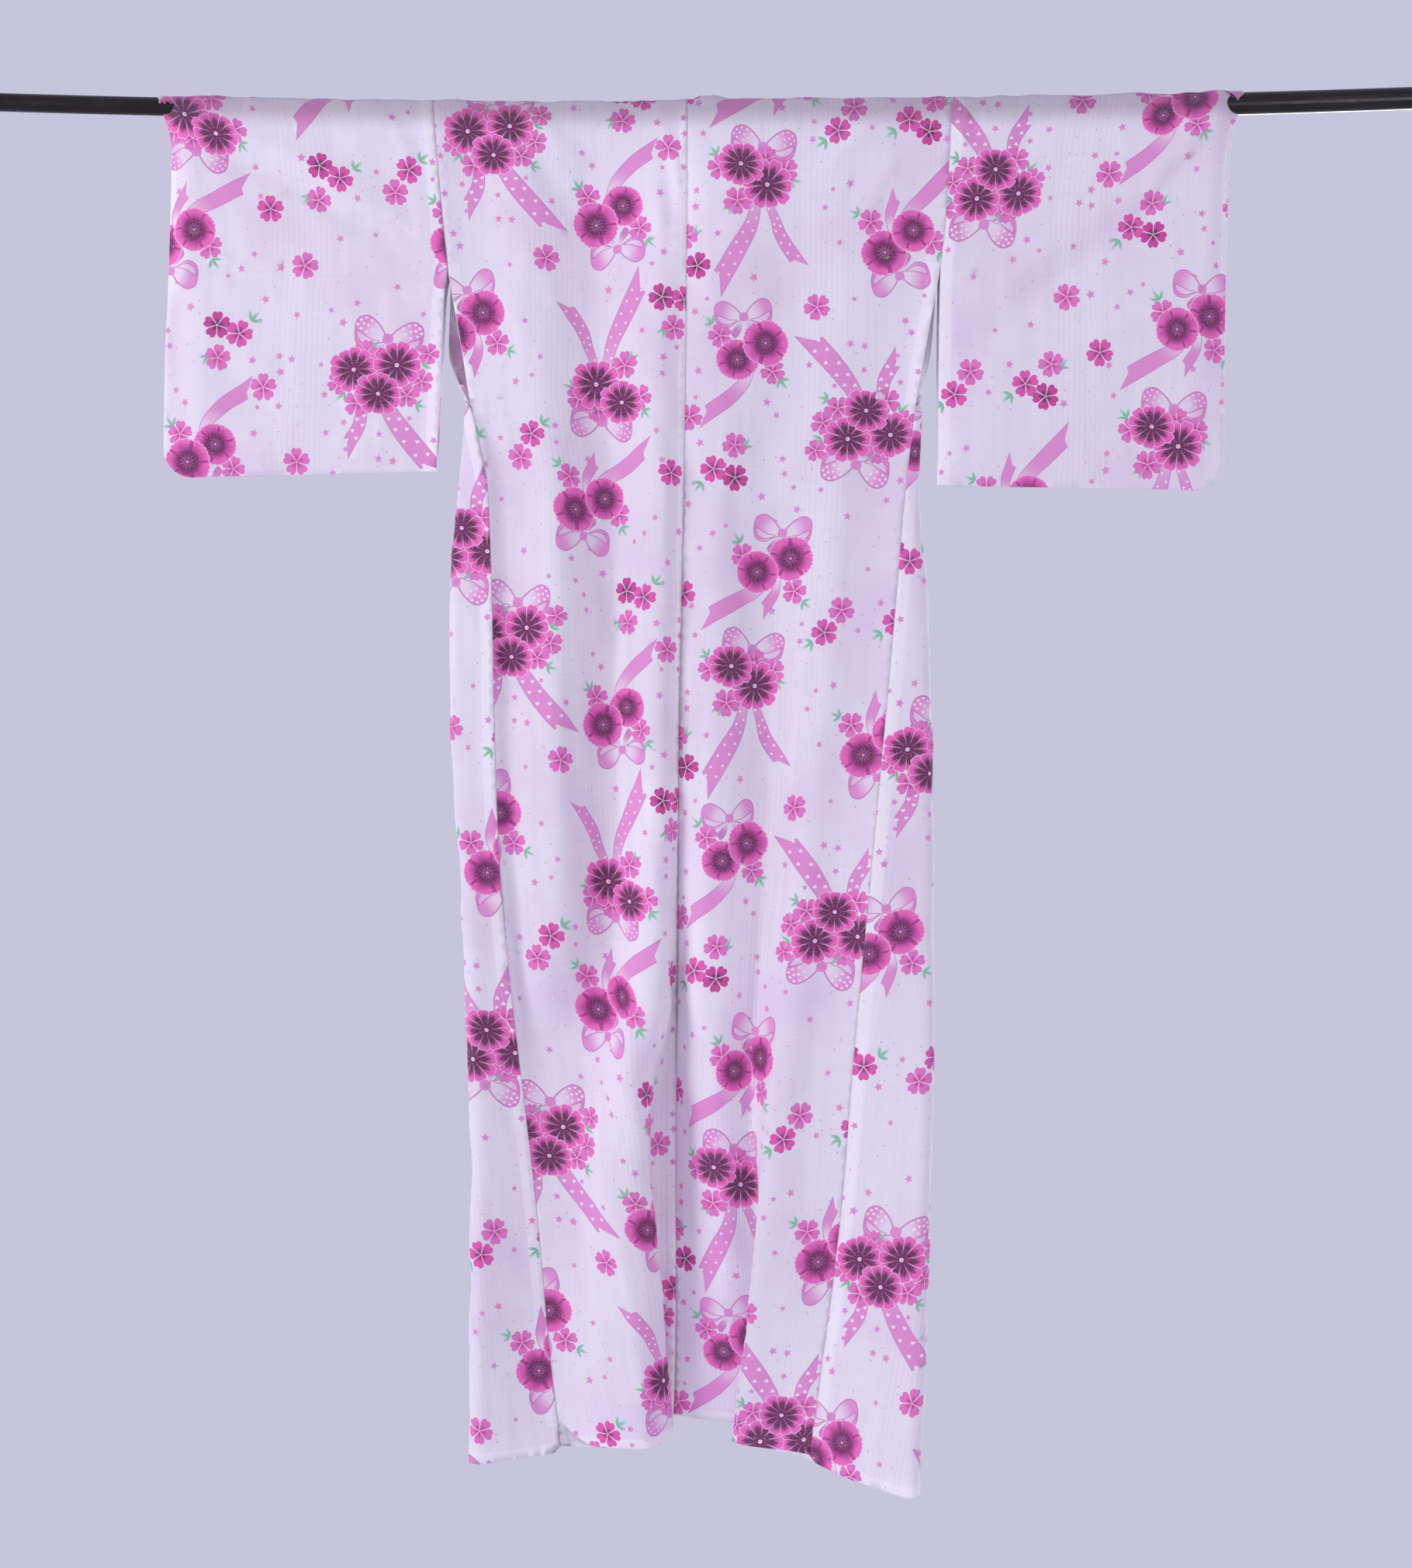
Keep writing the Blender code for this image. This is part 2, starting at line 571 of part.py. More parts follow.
def sleeve_point(side, share, drop, front):
    """A point of a sleeve: share across from its inner edge, at this drop, on the back or front."""
    inner, outer = sleeve_edge(side, "inner", drop), sleeve_edge(side, "outer", drop)
    foot_in, foot_out = SLEEVE_FOOT[side]
    straight = inner + (outer - inner) * share
    foot = foot_in + (foot_out - foot_in) * share
    low = drop
    if drop > ARMHOLE:
        share_down = min(1.0, (drop - ARMHOLE) / (SLEEVE_LAST - ARMHOLE))
        low = ARMHOLE + (foot - ARMHOLE) * share_down
    above = foot_out - low
    if above < SLEEVE_CORNER:
        cut = SLEEVE_CORNER - math.sqrt(max(0.0, SLEEVE_CORNER**2 - (SLEEVE_CORNER - above) ** 2))
        straight = inner + (outer - cut - inner) * share
    x = side * straight
    room = float(look_up(SLEEVE_ROOM, ROOM_COLUMNS, "room", low))
    room += (fold_radius(x) - SLEEVE_ROOM[0][1]) * (1 - float(ease(low / OFF_ROD)))
    closed = float(ease((low - SLEEVE_CUFF + 30) / 60)) * float(ease((share - 0.86) / 0.14))
    room = room + (SLEEVE_SLIT - room) * closed
    near_foot = float(ease((low - (foot - 30)) / 30))
    room = room + (SLEEVE_SLIT - room) * near_foot
    sway = SLEEVE_SWAY * math.sin(share * 5.0 + side) * float(ease(low / 300)) * share
    return (x, (room if front else -room) + sway, level(x, low))


def add_sleeve(sheet, side, name):
    half = halves[side]
    shares = np.linspace(0, 1, SLEEVE_COLUMNS_COUNT)
    lower = SLEEVE_ROWS + (SLEEVE_FOOT_ROW,)
    upper = [d for d in UPPER_ROWS if d <= ARMHOLE]

    def rows(front):
        found = []
        for drop in upper + list(lower):
            row = [sleeve_point(side, share, drop, front) for share in shares]
            if drop <= ARMHOLE:
                row = blend_to_seam(side, row, shares, drop, front)
            found.append(row)
        return found

    top = []
    for step in range(ARC_STEPS + 1):
        angle = math.pi * (1 - step / ARC_STEPS)
        row = []
        for share in shares:
            inner, outer = half.at("seam_x", 0), sleeve_edge(side, "outer", 0)
            row.append(on_rod(side * (inner + (outer - inner) * share), angle))
        top.append(row)
    back, front = rows(False), rows(True)
    loop = back[::-1] + top + front
    sheet.grid(name, loop + [back[-1]], flip=side == LEFT)
    closed = [i for i, d in enumerate(upper + list(lower)) if d >= SLEEVE_CUFF]
    rim = [[back[i][-1], front[i][-1]] for i in closed]
    sheet.grid(name, rim, flip=side == RIGHT)


def blend_to_seam(side, row, shares, drop, front):
    """Brings the sleeve's inner end onto the body's own points at the armhole seam."""
    half = halves[side]
    if front:
        seam = front_point(side, half.start(drop), drop)
    else:
        seam = half.point("back", half.at("back_width", drop), drop)
    shift = np.array(seam) - np.array(row[0])
    return [tuple(np.array(p) + shift * (1 - float(ease(t / 0.35)))) for p, t in zip(row, shares)]


def wall(sheet, points, normals, name, thickness, gap=GAP):
    """One piece's share of the sheet as a closed wall, drawn in by the gap where it meets another.

    What a wall has beyond one layer's thickness lies on its outer side.
    """
    mine = [f for f, owner in zip(sheet.faces, sheet.owner) if owner == name]
    others = {v for f, owner in zip(sheet.faces, sheet.owner) if owner != name for v in f}
    used = sorted({v for f in mine for v in f})
    number = {v: i for i, v in enumerate(used)}
    place = points[used].copy()
    inward = np.zeros_like(place)
    for face in mine:
        middle = points[face].mean(axis=0)
        for v in face:
            if v in others:
                inward[number[v]] += middle - points[v]
    for i, v in enumerate(used):
        if v in others:
            pull = inward[i] - normals[v] * (inward[i] @ normals[v])
            along = seam_direction(mine, points, others, v)
            pull -= along * (pull @ along)
            place[i] += pull / max(np.linalg.norm(pull), 1e-9) * gap
    out = place + normals[used] * (thickness - CLOTH / 2)
    inner = place - normals[used] * CLOTH / 2
    count = len(used)
    faces = [[number[v] for v in f] for f in mine]
    edges = {}
    for face in faces:
        for a, b in zip(face, face[1:] + face[:1]):
            edges[(a, b)] = edges.get((a, b), 0) + 1
    closed = faces + [[v + count for v in f[::-1]] for f in faces]
    for a, b in edges:
        if (b, a) not in edges:
            closed.append([b, a, a + count, b + count])
    return np.concatenate([out, inner]) * MM, closed


def seam_direction(mine, points, others, v):
    """The seam's own direction at this point, from its neighbours on the seam."""
    ends = []
    for face in mine:
        if v in face:
            i = face.index(v)
            for n in (face[i - 1], face[(i + 1) % len(face)]):
                if n in others and n not in ends:
                    ends.append(n)
    if not ends:
        return np.zeros(3)
    run = points[ends[-1]] - points[ends[0]] if len(ends) > 1 else points[ends[0]] - points[v]
    return run / max(np.linalg.norm(run), 1e-9)


def material(name, colour, roughness):
    made = bpy.data.materials.new(name)
    made.use_nodes = True
    shader = made.node_tree.nodes["Principled BSDF"]
    shader.inputs["Base Color"].default_value = colour
    shader.inputs["Roughness"].default_value = roughness
    return made


def add_object(name, points, faces, colour, roughness):
    mesh = bpy.data.meshes.new(name)
    mesh.from_pydata([tuple(p) for p in points], [], faces)
    mesh.validate()
    mesh.shade_smooth()
    mesh.set_sharp_from_angle(angle=math.radians(40))
    obj = bpy.data.objects.new(name, mesh)
    obj.data.materials.append(material(name + "_finish", colour, roughness))
    bpy.context.scene.collection.objects.link(obj)
    return obj


def add_tube(name, start, end, radius):
    """A plain closed tube along the rod's sagging line, with flat ends square to it."""
    stations = np.linspace(start, end, 11)
    points, faces = [], []
    for x in stations:
        slope = math.atan(2 * SAG_SQUARED * x + SAG_SLOPE)
        for k in range(SEGMENTS):
            angle = 2 * math.pi * k / SEGMENTS
            up = radius * math.sin(angle)
            point = (x - up * math.sin(slope), radius * math.cos(angle), rod_height(x) + up * math.cos(slope))
            points.append(tuple(c * MM for c in point))
    for i in range(len(stations) - 1):
        for k in range(SEGMENTS):
            a, b = i * SEGMENTS + k, i * SEGMENTS + (k + 1) % SEGMENTS
            faces.append([a, b, b + SEGMENTS, a + SEGMENTS])
    faces.append(list(range(SEGMENTS))[::-1])
    last = (len(stations) - 1) * SEGMENTS
    faces.append([last + k for k in range(SEGMENTS)])
    return add_object(name, points, faces, PAINT, 0.22)


for old in list(bpy.data.objects):
    bpy.data.objects.remove(old, do_unlink=True)

robe = Sheet()
add_body(robe, LEFT, "body_left")
add_body(robe, RIGHT, "body_right")
add_overlap(robe, LEFT, "overlap_left")
add_overlap(robe, RIGHT, "overlap_right")
add_collar(robe, "collar")
add_sleeve(robe, LEFT, "sleeve_left")
add_sleeve(robe, RIGHT, "sleeve_right")
robe_points, robe_normals = robe.normals()
for piece in ("body_left", "body_right", "overlap_left", "overlap_right", "sleeve_left", "sleeve_right"):
    add_object(piece, *wall(robe, robe_points, robe_normals, piece, CLOTH), COTTON, 0.85)
add_object("collar", *wall(robe, robe_points, robe_normals, "collar", BAND, BAND_GAP), COTTON, 0.85)
add_tube("rod_thin", THIN_END, JOINT_X, THIN_RADIUS)
add_tube("rod_thick", JOINT_X + 0.3, THICK_END, THICK_RADIUS)
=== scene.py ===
# %% [markdown]
# # A cotton yukata on a hanging rod
# A yukata is an unlined summer robe of printed cotton. It is cut in straight lengths from a roll of
# cloth about 37 cm wide: two body lengths that run over the shoulders, two narrow overlap panels at the
# fronts, two square sleeves and one collar band. Here it hangs by its sleeves on a telescopic rod, seen
# from its back. The scene takes a plain solid model of the robe as its frame, lays thin printed cloth
# over it, and adds sewing, paint, light and a camera.

# %% Start from the frame
import math

import bpy
import numpy as np
from mathutils.bvhtree import BVHTree
from mathutils.geometry import delaunay_2d_cdt
from mathutils.kdtree import KDTree
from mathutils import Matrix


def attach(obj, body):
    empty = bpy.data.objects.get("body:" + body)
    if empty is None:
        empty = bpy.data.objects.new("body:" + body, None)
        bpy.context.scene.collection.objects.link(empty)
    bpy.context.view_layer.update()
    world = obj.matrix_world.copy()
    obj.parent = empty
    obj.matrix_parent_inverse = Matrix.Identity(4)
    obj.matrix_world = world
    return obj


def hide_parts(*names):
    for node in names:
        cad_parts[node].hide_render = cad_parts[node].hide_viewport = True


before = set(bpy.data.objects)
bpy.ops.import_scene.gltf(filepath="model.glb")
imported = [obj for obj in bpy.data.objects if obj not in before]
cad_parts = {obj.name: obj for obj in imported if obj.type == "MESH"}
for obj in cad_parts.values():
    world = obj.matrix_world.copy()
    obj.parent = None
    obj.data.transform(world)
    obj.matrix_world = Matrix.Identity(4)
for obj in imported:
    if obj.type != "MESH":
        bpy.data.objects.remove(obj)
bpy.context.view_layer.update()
bpy.ops.object.select_all(action="DESELECT")
print("the frame's solids:", sorted(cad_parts))

# %% [markdown]
# ## The robe's sizes
# A pattern cutter writes a garment down as a few lengths. These are the robe's own, in millimetres, with
# short tables for where the cloth hangs at each height. The frame's solids were built from the same
# numbers, so the thin cloth made here falls in the same folds.

# %% Rod, seams and panels, in millimetres
MM = 0.001
THIN_RADIUS, THICK_RADIUS = 11.0, 13.5
JOINT_X = -6.0
STEP_BEFORE, STEP_LENGTH = 48.0, 30.0  # the cloth steps up to the thick tube this far before the joint
SAG_SQUARED, SAG_SLOPE = 1.85e-5, 2.0e-3
SAG_FADES = 600.0  # drop at which the cloth's rows no longer follow the rod's sag
REST = 0.55  # room between the rod and the cloth that lies on it
TABLE_ROD = 13.5  # the tables' Y for cloth that touches the rod
OFF_ROD = 120.0  # drop at which the cloth's Y no longer follows the rod's real radius

ARMHOLE = 200.0  # length of the sleeve seam, down from the rod
OPENING_FOOT = 370.0  # where the side seam starts
NECK_HALF = 90.0
NECK_FOOT = 124.0  # where the arch of the neck meets the straight front edges
NECK_TOP = 4.0  # how far the neck seam stands above the rod's axis, on its front side
FRONT = 240.0  # front width, side seam to overlap seam
TIP_DROP = 230.0  # the top of the overlap panels
COLLAR_END = 820.0
COLLAR_TOP, COLLAR_FOOT = 55.0, 75.0  # widths of the collar band
SLEEVE_CUFF = 230.0  # how far the cuff is open, down from the rod
SLEEVE_CORNER = 36.0
SLEEVE_SWAY = 3.0
HEM = 1690.0
LEFT, RIGHT = -1, 1
SIDE_WORDS = ((LEFT, "left"), (RIGHT, "right"))
WALL = 1.5  # thickness of the frame's cloth walls

print("from the rod to the hem the robe is", HEM * MM, "m long")

# %% Where the cloth hangs: a row for each drop below the rod
# Drops are below the rod's axis. X is measured outwards, and Y towards the fronts.
CENTRE_COLUMNS = ("drop", "x", "y")
CENTRE = (
    (0, 0, -13.5), (370, -3, -11), (480, -5, -8), (630, -8, -3), (780, -11, 3), (960, -12, 10),
    (1100, -13, 17), (1220, -14, 24), (1340, -15, 31), (1460, -15, 38), (1580, -16, 44), (1690, -19, 50),
)
SIDE_COLUMNS = ("drop", "back_width", "seam_x", "seam_y", "side_x", "side_y", "turn", "edge_x", "edge_y")
SIDES = {
    LEFT: (
        (0, 323, 319.5, -13.5, 319.5, 13.5, 4, 90, 14),
        (124, 318, 309, -13, 309, 14, 4, 90, 15),
        (200, 312, 301, -12, 301, 14, 5, 72, 19),
        (300, 296, 284, -11, 303, 10, 7, 56, 27),
        (370, 284, 273, -9, 282, -4, 9, 47, 31),
        (480, 277, 250.6, -12, 290, -8, 12, 54, 37),
        (630, 274, 245, -15, 301, -12, 14, 54, 47),
        (780, 273, 242, -17, 298.6, -17, 15, 24, 58),
        (960, 272, 234.6, -18, 285.6, -22, 15, 0, 67),
        (1100, 272, 222, -17, 280, -25, 15, 2, 72),
        (1220, 272, 208.3, -14, 274.4, -29, 15, 6, 76),
        (1340, 272, 194.5, -10, 270.8, -30, 15, 14, 80),
        (1460, 272, 183.5, -3, 272, -30, 15, 27, 83),
        (1580, 272, 173.5, 3, 273, -29, 14, 40, 85),
        (1690, 272, 160, 5, 273.6, -28, 14, 52, 86),
    ),
    RIGHT: (
        (0, 333, 332, -13.5, 332, 13.5, 4, 90, 14),
        (124, 328, 326, -13, 326, 14, 4, 90, 15),
        (200, 321, 318, -12, 318, 14, 5, 76, 16),
        (300, 304, 300, -11, 309, 10, 7, 60, 17),
        (370, 293, 288, -9, 296, -4, 9, 52, 20),
        (480, 284, 274, -14, 293, -10, 12, 46, 24),
        (630, 278, 260.4, -20, 302.8, -18, 14, 40, 33),
        (780, 275, 246.4, -26, 307, -24, 15, 30, 43),
        (960, 272, 228.8, -33, 308, -36, 15, 48, 50),
        (1100, 272, 215.1, -38, 307, -48, 15, 62, 54),
        (1220, 272, 204.1, -40, 304.6, -60, 15, 72, 54),
        (1340, 272, 194.8, -39, 298.8, -72, 15, 80, 53),
        (1460, 272, 182.6, -35, 294.4, -84, 14, 90, 50),
        (1580, 272, 167, -30, 289, -95, 14, 102, 47),
        (1690, 272, 152.7, -23, 280.7, -105, 13, 114, 44),
    ),
}
# How far the cloth's edge is from the side seam along the front, and the collar's width there
FRONT_COLUMNS = ("drop", "edge", "collar")
FRONTS = (
    (124, 200, 55), (230, 240, 57), (480, 299, 65), (820, 378, 75), (1000, 380, 75), (1690, 390, 75),
)
print("each side has", len(SIDES[LEFT]), "heights from the rod to the hem")

# %% The folds, as the directions that the cloth takes
# Each row is one height: the cloth's direction in plan, in degrees turned towards -Y from straight
# outwards, at places between the centre seam and the side seam.
FOLD_WIDTH = 272.0
BACK_PLACES = {
    LEFT: (0, 22, 38, 57, 99, 114, 146, 166, 205, 240, 272),
    RIGHT: (0, 30, 60, 88, 112, 130, 160, 178, 205, 240, 272),
}
BACK_FOLDS = {
    LEFT: (
        (0, (0, 0, 0, 0, 0, 0, 0, 0, 0, 0, 0)),
        (200, (4, 3, -1, -3, -2, 2, 3, 2, -3, 0, 3)),
        (370, (7, 5, -2, -6, -4, 3, 6, 4, -4, -2, 6)),
        (480, (14, 10, -4, -12, -8, 6, 12, 8, -8, -4, 12)),
        (630, (22, 18, -4, -18, -16, 6, 20, 14, -12, -8, 20)),
        (780, (28, 26, 2, -20, -22, 2, 24, 22, -10, -12, 24)),
        (960, (28, 32, 14, -14, -24, -8, 20, 24, -6, -12, 24)),
        (1100, (20, 30, 26, 8, -14, -18, 4, 12, 6, -6, 22)),
        (1220, (8, 24, 36, 38, 20, -4, -14, -12, 6, 10, 20)),
        (1340, (-4, 12, 36, 62, 52, 18, 0, -18, -12, 10, 18)),
        (1460, (-10, 0, 24, 92, 84, 36, 14, -16, -12, 5, 14)),
        (1580, (-12, -10, 8, 128, 124, 52, 36, -10, -10, 0, 10)),
        (1690, (-10, -10, -6, 158, 158, 62, 58, -5, -8, 0, 8)),
    ),
    RIGHT: (
        (0, (0, 0, 0, 0, 0, 0, 0, 0, 0, 0, 0)),
        (200, (3, 2, -1, -2, 0, 2, 3, 1, -1, 0, 2)),
        (370, (5, 3, -3, -4, -1, 4, 5, 2, -2, 0, 4)),
        (480, (10, 5, -5, -8, -2, 7, 10, 5, -4, 1, 8)),
        (630, (18, 10, -8, -14, -6, 12, 18, 10, -6, 2, 14)),
        (780, (26, 16, -8, -20, -10, 14, 24, 16, -6, 4, 18)),
        (960, (32, 22, -6, -22, -14, 16, 28, 18, -4, 8, 20)),
        (1100, (36, 28, 0, -20, -14, 22, 30, 12, -6, 8, 18)),
        (1220, (38, 34, 8, -16, -8, 34, 38, 6, -8, 5, 14)),
        (1340, (36, 36, 16, -6, 0, 52, 52, 4, -4, 5, 10)),
        (1460, (30, 32, 20, 5, 5, 80, 80, 10, 4, 5, 8)),
        (1580, (22, 24, 18, 10, 8, 120, 118, 18, 10, 8, 8)),
        (1690, (18, 20, 16, 14, 10, 160, 160, 20, 14, 12, 10)),
    ),
}
# The same for the fronts, in shares of the cloth between the side and the edge
FRONT_PLACES = (0, 0.14, 0.3, 0.46, 0.62, 0.78, 0.9, 1)
FRONT_FOLDS = {
    LEFT: (
        (0, (1, -1, 1, -1, 1, -1, 1, 0)),
        (370, (3, -7, 12, -12, 13, -12, 4, 0)),
        (780, (4, -8, 12, -10, 14, -10, 6, 0)),
        (1220, (0, -6, 12, 8, -12, 12, -8, -4)),
        (1690, (2, -8, 10, 14, -10, -14, 10, -6)),
    ),
    RIGHT: (
        (0, (1, -1, 1, -1, 1, -1, 1, 0)),
        (370, (3, -8, 12, -12, 14, -11, 3, 0)),
        (780, (4, -10, 10, -14, 12, -6, 4, 0)),
        (1220, (4, -10, 12, -10, 10, -10, 6, 0)),
        (1690, (4, -10, 8, 12, -12, 10, -8, 0)),
    ),
}
# Hem drops along the cloth from the centre seam, a row for each place
HEM_COLUMNS = ("place", "drop")
HEMS = {
    LEFT: ((0, 1680), (120, 1681), (230, 1687), (272, 1687), (277, 1695), (390, 1697), (662, 1702)),
    RIGHT: ((0, 1664), (110, 1668), (190, 1680), (272, 1687), (277, 1694), (415, 1706), (662, 1709)),
}
# Each sleeve: where its two upright edges are at each height, and its lower edge
SLEEVE_COLUMNS = ("drop", "inner", "outer")
SLEEVES = {
    LEFT: (
        (0, 319.5, 665), (55, 315, 651), (200, 301, 654), (230, 305, 655), (320, 309, 659), (470, 317, 661),
    ),
    RIGHT: ((0, 332, 699), (55, 329, 686), (200, 318, 680), (320, 316, 678), (470, 315.6, 677)),
}
SLEEVE_FOOT = {LEFT: (455, 463), RIGHT: (472, 480)}  # inner end, outer end
ROOM_COLUMNS = ("drop", "room")  # half the room between a sleeve's two layers
SLEEVE_ROOM = ((0, 13), (150, 11.5), (300, 10), (400, 8.5), (440, 6), (480, 3.6))
print("the folds are drawn at", len(BACK_FOLDS[LEFT]), "heights on the back")

# %% [markdown]
# ## The hang of the cloth
# Hanging cloth keeps its own width: if its two edges come closer, it folds. So each height has a plan
# curve of the cloth's true length, whose folds deepen until its ends meet the seams. The curves are
# worked out once at even heights, and any point of the cloth is then read between them.

# %% Smooth reading of the tables
def ease(x):
    x = np.clip(x, 0.0, 1.0)
    return x * x * (3.0 - 2.0 * x)


def smooth(places, values, at):
    """Values between the rows of a table, by cubic pieces that never overshoot."""
    places, values = np.asarray(places, float), np.asarray(values, float)
    at = np.clip(np.asarray(at, float), places[0], places[-1])
    step = np.diff(places)
    rise = np.diff(values) / step
    slope = np.zeros(len(places))
    slope[0], slope[-1] = rise[0], rise[-1]
    for i in range(1, len(places) - 1):
        if rise[i - 1] * rise[i] > 0:
            a, b = 2 * step[i] + step[i - 1], step[i] + 2 * step[i - 1]
            slope[i] = (a + b) / (a / rise[i - 1] + b / rise[i])
    i = np.clip(np.searchsorted(places, at, side="right") - 1, 0, len(step) - 1)
    t = (at - places[i]) / step[i]
    h = step[i]
    return (values[i] * (1 + 2 * t) * (1 - t) ** 2 + slope[i] * h * t * (1 - t) ** 2
            + values[i + 1] * t * t * (3 - 2 * t) + slope[i + 1] * h * t * t * (t - 1))


def look_up(table, columns, name, at):
    return smooth([row[0] for row in table], [row[columns.index(name)] for row in table], at)


halfway = look_up(SIDES[LEFT], SIDE_COLUMNS, "back_width", HEM / 2)
print("at half the robe's length a back is", round(float(halfway)), "mm wide")

# %% Plan curves of the true length
def fold_angles(folds, places, drop, share):
    heights = [row[0] for row in folds]
    columns = zip(*(row[1] for row in folds))
    here = np.array([float(smooth(heights, column, drop)) for column in columns])
    places = np.asarray(places, float)
    i = np.clip(np.searchsorted(places, share, side="right") - 1, 0, len(places) - 2)
    t = ease((share - places[i]) / (places[i + 1] - places[i]))
    return np.radians(here[i] + (here[i + 1] - here[i]) * t)


def walked(angles, length):
    middle = (angles[1:] + angles[:-1]) / 2
    step = length / len(middle)
    x = np.concatenate([[0.0], np.cumsum(np.cos(middle)) * step])
    return x, np.concatenate([[0.0], np.cumsum(-np.sin(middle)) * step])


def fitted(angles, length, start, end):
    """The folds made as deep as they need to be for the cloth to reach from start to end."""
    reach = math.hypot(end[0] - start[0], end[1] - start[1])

    def span(depth):
        middle = (angles[1:] + angles[:-1]) * (depth / 2)
        return math.hypot(np.cos(middle).sum(), np.sin(middle).sum()) * length / len(middle)

    low, high = 0.0, 0.0
    while span(high) > reach and high < 9.0:
        low, high = high, high + 0.05
    if high > 0.0:
        for _ in range(30):
            middle = (low + high) / 2
            low, high = (middle, high) if span(middle) > reach else (low, middle)
    x, y = walked(angles * high, length)
    turn = math.atan2(end[1] - start[1], end[0] - start[0]) - math.atan2(y[-1], x[-1])
    scale = reach / math.hypot(x[-1], y[-1])
    c, s = math.cos(turn) * scale, math.sin(turn) * scale
    return start[0] + c * x - s * y, start[1] + s * x + c * y, float(angles[0] * high) - turn


print("plan curves are walked in small steps of their own length")

# %% The rod's line
def rod_height(x):
    return SAG_SQUARED * x * x + SAG_SLOPE * x


def level(x, drop):
    """Z of the cloth at this drop: its rows follow the rod's sag, less and less further down."""
    return rod_height(x) * (1.0 - ease(drop / SAG_FADES)) - drop


def fold_radius(x):
    thick = ease((x - JOINT_X + STEP_BEFORE) / STEP_LENGTH)
    return THIN_RADIUS + (THICK_RADIUS - THIN_RADIUS) * thick + REST + WALL / 2


def neck_x(drop):
    rise = np.clip((NECK_FOOT - drop) / (NECK_FOOT + NECK_TOP), 0.0, 1.0)
    return NECK_HALF * np.sqrt(1.0 - rise * rise)


print("under the left sleeve's cuff the rod is", round(float(rod_height(-650.0)), 1), "mm above its middle")

